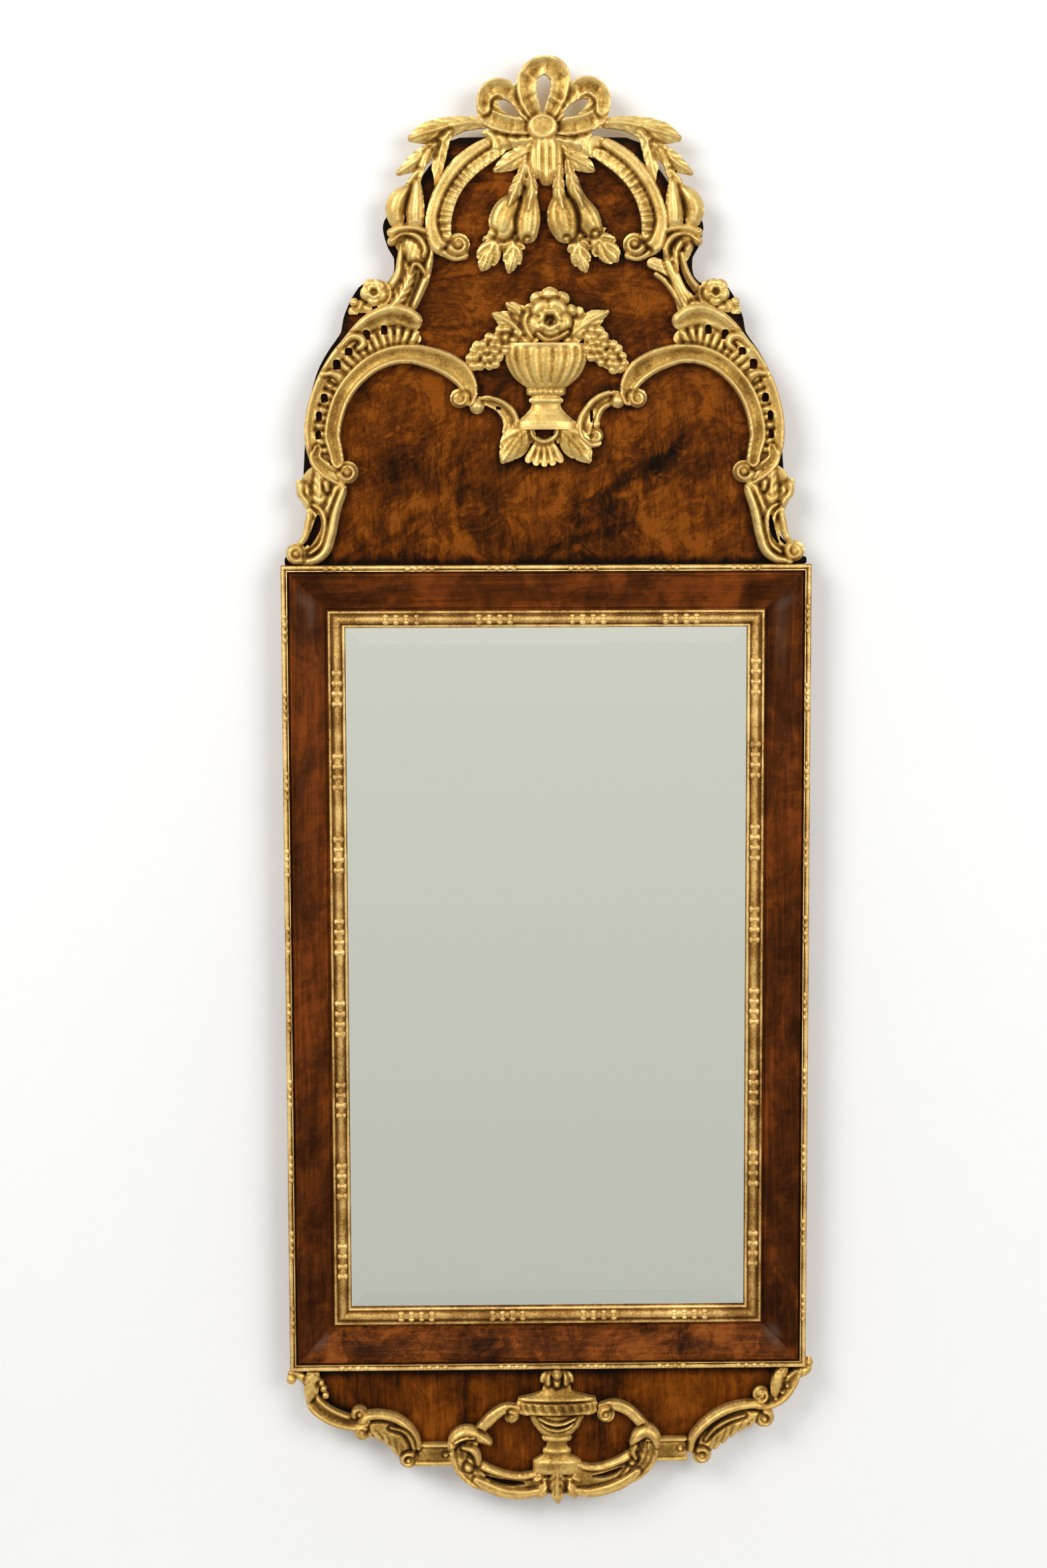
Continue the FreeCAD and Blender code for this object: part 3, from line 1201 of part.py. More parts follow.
def export_all():
    doc.recompute()
    parts = [
        thing for thing in doc.Objects
        if thing.TypeId in ("PartDesign::Body", "Part::Feature")
    ]
    for thing in doc.Objects:
        if {"Invalid", "Error"} & set(thing.State):
            raise RuntimeError(f"{thing.Label}: {thing.State}")
    bad = [thing.Label for thing in parts
           if thing.Shape.isNull() or not thing.Shape.isValid() or thing.Shape.Volume <= 0]
    if bad:
        raise RuntimeError(f"shape is null or not valid: {bad}")
    os.makedirs("parts", exist_ok=True)
    for thing in parts:
        thing.Shape.exportStep(f"parts/{thing.Label}.step")
    print(len(parts), "sub-parts written")


make_frame()
make_glass()
make_backboards()
make_boards()
make_battens()
make_crest_carving()
make_apron_carving()
make_backboard_nails()
make_batten_screws()
make_wedges()
make_hanger()
export_all()
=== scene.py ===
import math

import bpy
import numpy as np
from mathutils import Matrix, Vector


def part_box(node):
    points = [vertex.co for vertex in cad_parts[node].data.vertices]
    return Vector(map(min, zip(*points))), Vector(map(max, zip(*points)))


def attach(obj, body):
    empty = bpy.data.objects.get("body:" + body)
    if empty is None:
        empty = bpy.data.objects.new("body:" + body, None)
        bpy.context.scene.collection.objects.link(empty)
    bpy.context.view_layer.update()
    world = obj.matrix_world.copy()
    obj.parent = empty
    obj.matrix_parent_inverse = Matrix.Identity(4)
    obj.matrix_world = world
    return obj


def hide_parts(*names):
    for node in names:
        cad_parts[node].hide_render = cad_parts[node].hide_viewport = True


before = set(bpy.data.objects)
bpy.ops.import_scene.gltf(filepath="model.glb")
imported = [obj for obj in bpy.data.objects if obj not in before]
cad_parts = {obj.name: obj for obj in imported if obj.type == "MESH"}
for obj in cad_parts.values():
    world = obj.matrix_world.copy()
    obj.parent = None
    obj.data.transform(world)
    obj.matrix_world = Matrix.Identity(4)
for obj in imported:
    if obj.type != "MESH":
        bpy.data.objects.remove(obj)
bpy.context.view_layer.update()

# Places that the frame gives. The carving is drawn in millimetres from the frame's own
# top and bottom edges, on the face of the veneer.
MM = 0.001
FRAME_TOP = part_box("outer_bead_top")[1].z
FRAME_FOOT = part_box("outer_bead_bottom")[0].z
VENEER_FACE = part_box("crest_veneer")[0].y


# Shader sums

def both_ways(operation):
    """An operator on sockets that adds a Math node, and its reflected form."""
    def work(finish, *values):
        return finish.node("ShaderNodeMath", {"operation": operation}, dict(enumerate(values)))
    return (lambda self, other: work(self.finish, self, other),
            lambda self, other: work(self.finish, other, self))


class Socket:
    """One output of a shader node. Adding or multiplying it adds the Math node."""

    __add__, __radd__ = both_ways("ADD")
    __sub__, __rsub__ = both_ways("SUBTRACT")
    __mul__, __rmul__ = both_ways("MULTIPLY")

    def __init__(self, finish, link):
        self.finish, self.link = finish, link

    def between(self, low, high):
        """0 at low and below, 1 at high and above, smooth between."""
        return self.finish.node(
            "ShaderNodeMapRange", {"interpolation_type": "SMOOTHSTEP"},
            {"Value": self, "From Min": low, "From Max": high}, "Result")


class Pattern:
    """Shader nodes in a tree, built from sockets."""

    def __init__(self, tree):
        self.tree = tree

    def node(self, kind, settings=None, values=None, output=0):
        """Adds a node: its settings first, then the values or links of its sockets."""
        made = self.tree.nodes.new(kind)
        for title, value in (settings or {}).items():
            if title == "stops":
                while len(made.color_ramp.elements) < len(value):
                    made.color_ramp.elements.new(1.0)
                for stop, (place, colour) in zip(made.color_ramp.elements, value):
                    stop.position = place
                    stop.color = (*colour, 1.0)
            else:
                setattr(made, title, value)
        for title, value in (values or {}).items():
            socket = made.inputs[title]
            if isinstance(value, Socket):
                self.tree.links.new(value.link, socket)
            else:
                socket.default_value = value
        return Socket(self, made.outputs[output])

    def place(self, at=(0, 0, 0), turn=(0, 0, 0), scale=(1, 1, 1), kind="POINT"):
        """Object coordinates, moved, turned and stretched. TEXTURE turns them about at first."""
        coordinates = self.node("ShaderNodeTexCoord", output="Object")
        return self.node("ShaderNodeMapping", {"vector_type": kind}, {
            "Vector": coordinates, "Location": at, "Rotation": turn, "Scale": scale})

    def noise(self, where, scale, detail=3.0, roughness=0.55, distortion=0.0):
        return self.node("ShaderNodeTexNoise", None, {
            "Vector": where, "Scale": scale, "Detail": detail, "Roughness": roughness,
            "Distortion": distortion})

    def ramp(self, value, *stops):
        return self.node("ShaderNodeValToRGB", {"stops": stops}, {"Fac": value})

    def mix(self, share, first, second):
        """Colours mixed by a share from 0, the first, to 1, the second."""
        return self.node("ShaderNodeMix", {"data_type": "RGBA"},
                         {0: share, 6: rgba(first), 7: rgba(second)}, 2)

    def part(self, where, axis):
        """One of the three coordinates of a place."""
        return self.node("ShaderNodeSeparateXYZ", None, {0: where}, "XYZ".index(axis))

    def distance(self, where):
        """How far a place is from its origin."""
        return self.node("ShaderNodeVectorMath", {"operation": "LENGTH"}, {0: where}, 1)

    def attribute(self, name):
        return self.node("ShaderNodeAttribute", {"attribute_name": name}, None, "Fac")

    def bump(self, height, distance, strength=1.0):
        return self.node("ShaderNodeBump", None, {
            "Height": height, "Distance": distance, "Strength": strength})


class Finish(Pattern):
    """A material with one Principled shader."""

    def __init__(self, name, **fixed):
        self.material = bpy.data.materials.new(name)
        self.material.use_nodes = True
        super().__init__(self.material.node_tree)
        self.surface = self.tree.nodes["Principled BSDF"]
        for title, value in fixed.items():
            self.surface.inputs[title.replace("_", " ")].default_value = value

    def feed(self, **sockets):
        """Links patterns to the sockets of the surface."""
        for title, value in sockets.items():
            self.tree.links.new(value.link, self.surface.inputs[title.replace("_", " ")])
        return self.material


def rgba(colour):
    """A colour with its alpha. Links stay as they are."""
    return (*colour, 1.0) if isinstance(colour, tuple) and len(colour) == 3 else colour


def srgb(red, green, blue):
    """A colour as seen on a screen, 0 to 255, in the linear values that shaders take."""
    return tuple(
        c / 12.92 if c <= 0.04045 else ((c + 0.055) / 1.055) ** 2.4
        for c in (red / 255, green / 255, blue / 255))


# Finishes

def gilding(name, bright, middle, deep, shade_and_grime, bole):
    """Old leaf gilding: bright where it is rubbed and, as a painted highlight, on raised parts;
    umber in the hollows as painted shade with grime; red clay at worn edges.
    """
    gold = Finish(name, Metallic=0.76)
    here = gold.place()
    hollow = gold.attribute("hollow")
    patches = gold.noise(here, 42.0, 4.0, 0.6)
    broad = gold.noise(here, 15.0, 3.0, 0.55)
    grains = gold.noise(here, 420.0, 2.0, 0.6)
    # hollow is above zero in the carving's hollows and below zero on raised parts, so it paints
    # shade, with grime, into the hollows and a highlight onto the raised parts.
    depth = (hollow * 0.17 + (patches - 0.5) * 0.8 + (broad - 0.5) * 0.5
             + (grains - 0.5) * 0.5) + 0.40
    tone = gold.ramp(depth, (0.08, bright), (0.38, middle), (0.62, deep), (0.92, shade_and_grime))
    wear = (gold.noise(here, 95.0, 5.0, 0.7) - hollow * 0.06).between(0.62, 0.74)
    worn = gold.mix(wear * 0.35, tone, bole)
    height = grains * 0.4 + gold.noise(here, 140.0, 3.0) + gold.noise(here, 60.0) * 1.3
    return gold.feed(
        Base_Color=worn,
        Roughness=0.45 + depth.between(0.1, 0.9) * 0.27,
        Normal=gold.bump(height, 0.0005, 0.7))


def pine(name):
    """Plain softwood, darkened by age, with upright grain."""
    wood = Finish(name)
    here = wood.place(scale=(6.0, 20.0, 1.0))
    rings = wood.noise(here, 9.0, 5.0, 0.6, 1.2)
    fibres = wood.noise(wood.place(scale=(60.0, 60.0, 3.0)), 20.0, 3.0)
    tone = wood.ramp(rings * 0.75 + fibres * 0.25,
                     (0.3, srgb(92, 62, 36)), (0.55, srgb(134, 96, 58)), (0.75, srgb(158, 120, 78)))
    return wood.feed(Base_Color=tone, Roughness=0.62 + fibres * 0.2,
                     Normal=wood.bump(rings + fibres, 0.0003))


PAINTED_GLEAM = srgb(96, 78, 64)


def veneer(name, centre, grain, burl, stops, clouds=(), upper=None, bright=0.0, gleams=()):
    """Polished figured veneer: streaks one way, burr in it, and clouds where they are drawn.

    A cloud is (x, z, half width, half height, how dark) in metres, and may end with the
    degrees that it leans. upper is a second grain and the heights between which it takes
    over. The shade attribute darkens it by the carving and along the edge: painted shade,
    with some dirt, round the carving, and painted shade with dark stain at the rim.
    gleams are clouds of painted greyish reflection on the polish: a share in place of how dark, and
    the lean.
    """
    wood = Finish(name, Specular_IOR_Level=0.04, Coat_Roughness=0.12)
    at = (-centre[0], 0.0, -centre[1])
    here = wood.place(at=at)

    def streaks(way):
        along = wood.place(at=(at[0] / way[0], 0.0, at[2] / way[1]),
                           scale=(1.0 / way[0], 1.0, 1.0 / way[1]))
        return (wood.noise(along, 58.0, 6.0, 0.68, 0.5 + burl),
                wood.noise(along, 230.0, 3.0, 0.6))

    fine, lines = streaks(grain)
    if upper:
        second, low, high = upper
        share = wood.part(wood.place(), "Z").between(low, high)
        over_fine, over_lines = streaks(second)
        fine = fine + (over_fine - fine) * share
        lines = lines + (over_lines - lines) * share
    swirl = wood.noise(here, 8.0, 4.0, 0.6, 2.6 * burl)
    broad = wood.noise(here, 22.0, 5.0, 0.65, 1.6 * burl)
    value = ((swirl - 0.5) * 0.60 + (fine - 0.5) * 0.46 + (broad - 0.5) * 0.34
             + (lines - 0.5) * 0.16 + 0.5 + bright)

    def cloud(x, z, half_x, half_z, lean=0.0, ragged=2.2):
        place = wood.place((x, 0.0, z), (0.0, math.radians(lean), 0.0), (half_x, 1.0, half_z),
                           "TEXTURE")
        return 1.0 - (wood.distance(place) + (broad - 0.5) * ragged).between(0.1, 1.3)

    for x, z, half_x, half_z, depth, *lean in clouds:
        value = value - cloud(x, z, half_x, half_z, *lean) * depth
    flames = wood.noise(wood.place(at=(0.1, 0.0, 0.1), turn=(0.0, math.radians(-32), 0.0),
                                   scale=(3.2, 1.0, 0.8), kind="TEXTURE"),
                        60.0, 5.0, 0.65, 2.2)
    value = value + (flames - 0.5) * 0.34 * burl
    off = wood.node("ShaderNodeMath", {"operation": "ABSOLUTE"}, {0: broad - 0.5})
    value = value - (1.0 - off.between(0.0, 0.05)) * 0.08 * burl
    # The shade attribute: painted shade round the carving and at the edges, with dirt and stain.
    value = value - wood.attribute("shade") * 0.30
    tone = wood.ramp(value, *stops)
    # The gleams are painted reflections on the polish near the frame's corners.
    for x, z, half_x, half_z, share, lean in gleams:
        tone = wood.mix(cloud(x, z, half_x, half_z, lean, 0.6) * share, tone, PAINTED_GLEAM)
    return wood.feed(
        Base_Color=tone, Roughness=0.38 + lines * 0.12,
        Coat_Weight=0.004 + broad * 0.05,
        Normal=wood.bump(fine * 0.4 + lines * 0.3 + broad * 0.3, 0.0002, 0.7))


SILVERED_BACK = (-0.0135, -0.0125)


def silvered_glass():
    """The mirror: bright from the front, with a few dull spots, and painted grey behind."""
    glass = Finish("silvered glass", Metallic=1.0)
    here = glass.place()
    back = glass.part(here, "Y").between(*SILVERED_BACK)
    spots = glass.noise(here, 60.0, 5.0, 0.7).between(0.68, 0.78)
    tone = glass.mix(spots * 0.12, srgb(238, 240, 234), srgb(196, 190, 170))
    backed = glass.mix(back, tone, srgb(88, 80, 72))
    return glass.feed(Base_Color=backed, Roughness=0.012 + back * 0.6 + spots * 0.02)


def wrought_iron():
    """Dark iron with a rough skin and spots of rust."""
    iron = Finish("wrought iron", Metallic=0.8)
    here = iron.place()
    scale_marks = iron.noise(here, 300.0, 4.0)
    rust = iron.noise(here, 120.0, 5.0, 0.7).between(0.55, 0.7)
    tone = iron.mix(rust * 0.6, srgb(70, 66, 62), srgb(96, 56, 34))
    return iron.feed(Base_Color=tone, Roughness=0.45 + scale_marks * 0.3,
                     Normal=iron.bump(scale_marks, 0.0002))


CREST_GOLD = gilding("crest gilding", srgb(222, 194, 122), srgb(184, 147, 73),
                     srgb(128, 90, 32), srgb(70, 42, 8), srgb(166, 108, 56))
APRON_GOLD = gilding("apron gilding", srgb(220, 184, 106), srgb(150, 112, 46),
                     srgb(94, 62, 18), srgb(46, 28, 6), srgb(134, 80, 38))
BEAD_GOLD = gilding("bead gilding", srgb(250, 222, 152), srgb(218, 181, 110),
                    srgb(152, 108, 48), srgb(84, 54, 18), srgb(150, 88, 44))
PINE = pine("old pine")
IRON = wrought_iron()
GLASS = silvered_glass()
WALNUT = ((0.18, srgb(14, 6, 1)), (0.32, srgb(44, 19, 1)), (0.43, srgb(76, 35, 2)),
          (0.52, srgb(100, 49, 4)), (0.63, srgb(132, 70, 12)), (0.78, srgb(122, 50, 6)))
MAHOGANY = ((0.24, srgb(28, 11, 2)), (0.39, srgb(56, 25, 4)), (0.50, srgb(80, 38, 7)),
            (0.61, srgb(112, 54, 14)), (0.76, srgb(140, 66, 20)))
FLAME = ((0.26, srgb(30, 12, 3)), (0.38, srgb(60, 28, 6)), (0.49, srgb(92, 46, 12)),
         (0.60, srgb(130, 67, 22)), (0.74, srgb(154, 88, 36)))
# The two clouds at x 0.055 and -0.050, z about -0.14, beside the urn's neck are painted shadow
# under its bowl; the others are the veneer's figure.
CREST_CLOUDS = ((0.060, -0.285, 0.055, 0.040, 0.08), (0.115, -0.225, 0.065, 0.026, 0.12),
                (-0.145, -0.235, 0.055, 0.045, 0.07), (-0.165, -0.310, 0.060, 0.025, 0.05),
                (0.015, -0.315, 0.030, 0.020, 0.08), (0.120, -0.090, 0.028, 0.020, 0.12),
                (-0.045, -0.275, 0.045, 0.060, 0.04), (0.165, -0.290, 0.035, 0.040, -0.06),
                (0.055, -0.145, 0.030, 0.014, 0.10), (-0.050, -0.142, 0.032, 0.014, 0.09),
                (0.093, -0.238, 0.065, 0.007, 0.12, -31), (0.075, -0.268, 0.055, 0.006, 0.11, -26),
                (0.135, -0.205, 0.045, 0.005, 0.10, -40), (0.050, -0.300, 0.050, 0.006, 0.10, -16),
                (-0.150, -0.225, 0.008, 0.040, 0.09, 8), (-0.085, -0.250, 0.006, 0.045, 0.08, 4),
                (-0.020, -0.230, 0.005, 0.050, 0.07, -3), (-0.190, -0.270, 0.020, 0.05, -0.06),
                (-0.155, -0.190, 0.040, 0.030, -0.06))
APRON_CLOUDS = ((-0.215, -1.195, 0.050, 0.030, 0.10), (0.060, -1.205, 0.022, 0.060, 0.09),
                (0.215, -1.195, 0.035, 0.030, 0.07), (-0.085, -1.200, 0.014, 0.060, 0.08),
                (0.130, -1.200, 0.024, 0.050, -0.05), (-0.130, -1.200, 0.026, 0.050, -0.04))
CREST_WOOD = veneer("crest veneer", (0.0, -0.15), (0.7, 3.2), 1.0, WALNUT, CREST_CLOUDS,
                    upper=((3.4, 0.8), -0.19, -0.12), bright=0.025)
APRON_WOOD = veneer("apron veneer", (0.0, -1.25), (0.45, 4.5), 0.45, WALNUT, APRON_CLOUDS)
SIDE_WOOD = {
    "top": veneer(
        "top moulding veneer", (0.0, -0.36), (7.0, 0.5), 0.5, MAHOGANY,
        ((-0.225, -0.355, 0.05, 0.03, 0.12), (0.22, -0.358, 0.03, 0.02, 0.10)), bright=0.04),
    "bottom": veneer(
        "bottom moulding veneer", (0.3, -1.14), (5.0, 0.6), 0.9, FLAME,
        ((-0.06, -1.15, 0.02, 0.02, 0.18), (-0.19, -1.142, 0.03, 0.02, 0.1),
         (0.10, -1.15, 0.03, 0.02, -0.12), (0.14, -1.14, 0.012, 0.02, 0.14)), bright=0.015,
        gleams=((-0.238, -1.141, 0.013, 0.008, 0.40, -45),
                (0.236, -1.139, 0.015, 0.007, 0.45, 45))),
    "left": veneer(
        "left moulding veneer", (-0.25, -0.7), (0.5, 7.0), 0.5, MAHOGANY,
        ((-0.245, -1.07, 0.02, 0.07, 0.05), (-0.245, -0.50, 0.03, 0.10, -0.06)), bright=0.025,
        gleams=((-0.246, -0.366, 0.012, 0.006, 0.35, 45),
                (-0.241, -0.380, 0.005, 0.020, 0.32, 0))),
    "right": veneer(
        "right moulding veneer", (0.25, -0.5), (0.5, 7.0), 0.5, MAHOGANY,
        ((0.245, -1.09, 0.03, 0.06, 0.10),),
        gleams=((0.243, -0.370, 0.012, 0.006, 0.35, -45), (0.240, -0.400, 0.008, 0.040, 0.20, 0),
                (0.238, -1.133, 0.010, 0.006, 0.40, 45)))}


# Pieces

# The bend in degrees from which an edge stays sharp
SHARP_CARVING = 62.0
SHARP_MOULDING = 28.0


def placed(name, data):
    """A new object in the scene, at the origin."""
    made = bpy.data.objects.new(name, data)
    bpy.context.scene.collection.objects.link(made)
    return made


def own(piece, material, slot, *nodes, body="mirror"):
    """Gives a finished piece its material and body, and hides the nodes that it stands for. slot is
    not used.
    """
    piece.data.materials.clear()
    piece.data.materials.append(material)
    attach(piece, body)
    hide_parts(*nodes)


def smoothed(mesh, sharp_from):
    """Shades a mesh smooth, but for the edges that bend by an angle in degrees or more."""
    mesh.polygons.foreach_set("use_smooth", np.ones(len(mesh.polygons), bool))
    mesh.set_sharp_from_angle(angle=math.radians(sharp_from))


def add_depths(mesh, title, depths):
    """Keeps a number for each point of a mesh, for its finish to read."""
    layer = mesh.attributes.new(title, "FLOAT", "POINT")
    layer.data.foreach_set("value", depths.astype(np.float32))


def face_mesh(name, points, quads):
    """A mesh of four-sided faces from arrays."""
    mesh = bpy.data.meshes.new(name)
    mesh.vertices.add(len(points))
    mesh.vertices.foreach_set("co", np.asarray(points, np.float32).ravel())
    mesh.loops.add(quads.size)
    mesh.loops.foreach_set("vertex_index", quads.astype(np.int32).ravel())
    mesh.polygons.add(len(quads))
    mesh.polygons.foreach_set("loop_start", np.arange(0, quads.size, 4, dtype=np.int32))
    mesh.update(calc_edges=True)
    mesh.validate()
    return mesh


# Carving

# In millimetres: the grid that carvings are cut on, the tallest one, the least half width of
# a strip, how high the edge of a form stands, how wide a cut beside one is, how near its
# outline a grid point may lie, how far round a form it matters, and the edge of bare ground
# and of nothing at all.
PITCH = 0.8
TALLEST = 17.4
THINNEST = 0.3
GROUND = 3.0
GROOVE = 1.3
HAIR = 0.02
MARGIN = 4
OUTSIDE = -9.0
FAR = 1e9


def smooth(rows, per_span=7):
    """A curve through rows of any number of columns, with points between them."""
    rows = np.asarray(rows, float)
    ends = np.vstack([2 * rows[0] - rows[1], rows, 2 * rows[-1] - rows[-2]])
    found = [rows[0]]
    for a, b, c, d in zip(ends, ends[1:], ends[2:], ends[3:]):
        for step in range(1, per_span + 1):
            u = step / per_span
            found.append(0.5 * (2 * b + (c - a) * u + (2 * a - 5 * b + 4 * c - d) * u ** 2
                                + (3 * b - a - 3 * c + d) * u ** 3))
    return np.array(found)


def blurred(values, reach):
    """Values averaged over a square of reach grid points each way, twice."""
    for _ in range(2):
        for axis in (0, 1):
            padded = np.insert(np.cumsum(np.pad(
                values, [(reach + 1, reach) if k == axis else (0, 0) for k in (0, 1)],
                mode="edge"), axis=axis), 0, 0, axis=axis)
            width = 2 * reach + 1
            last = np.take(padded, np.arange(width + 1, padded.shape[axis]), axis=axis)
            first = np.take(padded, np.arange(1, padded.shape[axis] - width), axis=axis)
            values = (last - first) / width
    return values


# Sections of what follows a path, from one side to the other: (across, height), both as shares.
HOLLOWED = ((-1, 0.3), (-0.93, 0.72), (-0.82, 0.98), (-0.72, 1), (-0.62, 0.86), (-0.5, 0.62),
            (-0.25, 0.48), (0, 0.45), (0.25, 0.48), (0.5, 0.62), (0.62, 0.86), (0.72, 1),
            (0.82, 0.98), (0.93, 0.72), (1, 0.3))
ROUNDED = tuple((math.sin(a), math.cos(a)) for a in np.linspace(-math.pi / 2, math.pi / 2, 17))
LIPPED = ((-1, 0.35), (-0.75, 0.5), (-0.35, 0.5), (0.0, 0.62), (0.3, 0.9), (0.55, 1), (0.8, 0.9),
          (1, 0.45))
SHALLOW = ((-1, 0.35), (-0.8, 0.85), (-0.55, 1), (-0.2, 0.86), (0.2, 0.86), (0.55, 1), (0.8, 0.85),
           (1, 0.35))
RIBBON = ((-1, 0.7), (-0.85, 1), (-0.5, 0.68), (0, 0.55), (0.5, 0.7), (0.85, 1), (1, 0.7))
RIBBED = ((-1, 0.8), (-0.8, 0.95), (0, 0.85), (0.8, 0.95), (1, 0.8))
TROUGH = ((-1, 0.75), (-0.5, 0.6), (0, 0.65), (0.5, 0.6), (1, 0.75))
STEM = ((-1, 0.9), (-0.5, 0.7), (0, 0.9), (0.5, 0.65), (1, 0.9))
COMB = ((-1, 0.9), (0, 0.8), (1, 0.9))
REEDED = ((-1, 0.4), (-0.8, 0.95), (-0.55, 0.55), (-0.28, 0.98), (0, 0.62), (0.28, 0.98),
          (0.55, 0.55), (0.8, 0.95), (1, 0.4))
FLAT = ((-1, 0.9), (-0.8, 1), (0.8, 1), (1, 0.9))


class Form:
    """A stretch of carving over a window of the grid: where each point lies on it."""

    def __init__(self, window, edge, across=0.0, run=0.0, half=1.0, length=1.0):
        self.window, self.edge, self.across = window, edge, across
        self.run, self.half, self.length = run, half, length


class Relief:
    """A carving seen from the front, on a grid in millimetres.

    edge says how far inside the outline a point lies, height how far it stands off the board.
    """

    def __init__(self, low_x, high_x, low_z, high_z, pitch=PITCH):
        self.pitch = pitch
        self.x, self.z = np.meshgrid(np.arange(low_x, high_x, pitch),
                                     np.arange(low_z, high_z, pitch), indexing="ij")
        self.edge = np.full(self.x.shape, OUTSIDE)
        self.height = np.zeros(self.x.shape)

    def window(self, xs, zs, reach):
        """The part of the grid round some places."""
        low_i = int((min(xs) - reach - self.x[0, 0]) / self.pitch)
        high_i = int((max(xs) + reach - self.x[0, 0]) / self.pitch) + 2
        low_j = int((min(zs) - reach - self.z[0, 0]) / self.pitch)
        high_j = int((max(zs) + reach - self.z[0, 0]) / self.pitch) + 2
        return (slice(max(low_i, 0), max(high_i, 0)), slice(max(low_j, 0), max(high_j, 0)))

    def follow(self, rows):
        """The form along a path of (x, z, half width)."""
        path = smooth(rows)
        path[:, 2] = np.maximum(path[:, 2], THINNEST)
        window = self.window(path[:, 0], path[:, 1], path[:, 2].max() + MARGIN)
        x, z = self.x[window], self.z[window]
        best = np.full(x.shape, FAR)
        across, run, half = np.zeros(x.shape), np.zeros(x.shape), np.ones(x.shape)
        start = 0.0
        for (ax, az, a_half), (bx, bz, b_half) in zip(path, path[1:]):
            dx, dz = bx - ax, bz - az
            length = max(math.hypot(dx, dz), 1e-6)
            share = np.clip(((x - ax) * dx + (z - az) * dz) / length ** 2, 0, 1)
            off_x, off_z = x - ax - dx * share, z - az - dz * share
            distance = np.hypot(off_x, off_z)
            width = a_half + (b_half - a_half) * share
            nearer = distance - width < best
            best = np.where(nearer, distance - width, best)
            side = np.sign(dx * off_z - dz * off_x)
            across = np.where(nearer, side * distance / width, across)
            run = np.where(nearer, start + share * length, run)
            half = np.where(nearer, width, half)
            start += length
        return Form(window, -best, across, run, half, start)

    def outline(self, points, per_span=5):
        """The form inside a closed outline of (x, z)."""
        closed = smooth(list(points) + [points[0]], per_span)
        window = self.window(closed[:, 0], closed[:, 1], MARGIN)
        x, z = self.x[window], self.z[window]
        nearest = np.full(x.shape, FAR)
        crossings = np.zeros(x.shape, int)
        for (ax, az), (bx, bz) in zip(closed, closed[1:]):
            dx, dz = bx - ax, bz - az
            share = np.clip(((x - ax) * dx + (z - az) * dz) / max(dx * dx + dz * dz, 1e-9), 0, 1)
            nearest = np.minimum(nearest, np.hypot(x - ax - dx * share, z - az - dz * share))
            if az != bz:
                crossings += ((az > z) != (bz > z)) & (x < ax + dx * (z - az) / dz)
        inside = crossings % 2 == 1
        return Form(window, np.where(inside, nearest, -nearest))

    def disc(self, x, z, radius, squash=1.0):
        """The form inside a circle, or an oval that is lower than wide."""
        window = self.window((x - radius, x + radius), (z - radius, z + radius), MARGIN)
        away = np.hypot(self.x[window] - x, (self.z[window] - z) / squash)
        turn = np.arctan2((self.z[window] - z) / squash, self.x[window] - x)
        return Form(window, radius - away, away / radius, turn, radius)

    def lay(self, form, height, over=True, undercut=0.5):
        """Lays a form on what is there, and cuts round it where it lies over."""
        edge, ground = self.edge[form.window], self.height[form.window]
        inside = form.edge > 0
        if over:
            cut = 1 - undercut * np.exp(-np.square(np.minimum(form.edge, 0) / GROOVE))
            ground[:] = np.where(inside, height, ground * cut)
        else:
            ground[:] = np.where(inside, np.maximum(ground, height), ground)
        np.maximum(edge, form.edge, out=edge)

    def pierce(self, form):
        """Cuts a hole."""
        edge = self.edge[form.window]
        np.minimum(edge, -form.edge, out=edge)

    def band(self, rows, section, relief, base=GROUND, **ribs):
        """A strip with a section along a path. Ribs across it have a pitch and a depth."""
        form = self.follow(rows)
        profile = np.interp(form.across, *zip(*section))
        height = base + (relief - base) * profile
        if ribs:
            uneven = form.run / ribs["pitch"] + 0.2 * np.sin(form.run * 0.3)
            wave = np.abs(np.cos(math.pi * uneven))
            deep = ribs["depth"] * (0.72 + 0.28 * np.sin(form.run * 0.12 + 1))
            height -= deep * (1 - wave) * np.clip(1 - np.abs(form.across) ** 6, 0, 1)
        self.lay(form, height)

    def rod(self, rows, relief, base=GROUND, **ribs):
        """A round strip along a path."""
        self.band(rows, ROUNDED, relief, base, **ribs)

    def ball(self, x, z, radius, relief, base=GROUND, over=True, squash=1.0, undercut=0.5):
        """A dome."""
        form = self.disc(x, z, radius, squash)
        dome = base + (relief - base) * np.sqrt(np.clip(1 - form.across ** 2, 0, 1))
        self.lay(form, dome, over, undercut)

    def fruit(self, rows, relief, flutes):
        """A pear or a fluted drop along a path, as round as it is wide."""
        form = self.follow(rows)
        turn = np.arcsin(np.clip(form.across, -1, 1))
        swell = np.sqrt(form.half / max(row[2] for row in rows))
        height = GROUND + (relief - GROUND) * np.cos(turn) * swell
        height += 2.2 * (np.abs(np.cos(turn * flutes)) ** 0.6 - 1) * np.cos(turn)
        self.lay(form, height)

    def fluted(self, outline, relief, axis, pitch, depth, base=5.0, lean=0.0):
        """A leaf or a shell with upright flutes inside an outline."""
        form = self.outline(outline)
        x, z = self.x[form.window] - axis, self.z[form.window]
        dome = np.sqrt(np.clip(form.edge / 6, 0, 1))
        wave = np.abs(np.cos(math.pi * (x + lean * (z - z.mean())) / pitch)) ** 0.6
        self.lay(form, base + (relief - base) * dome - depth * (1 - wave))

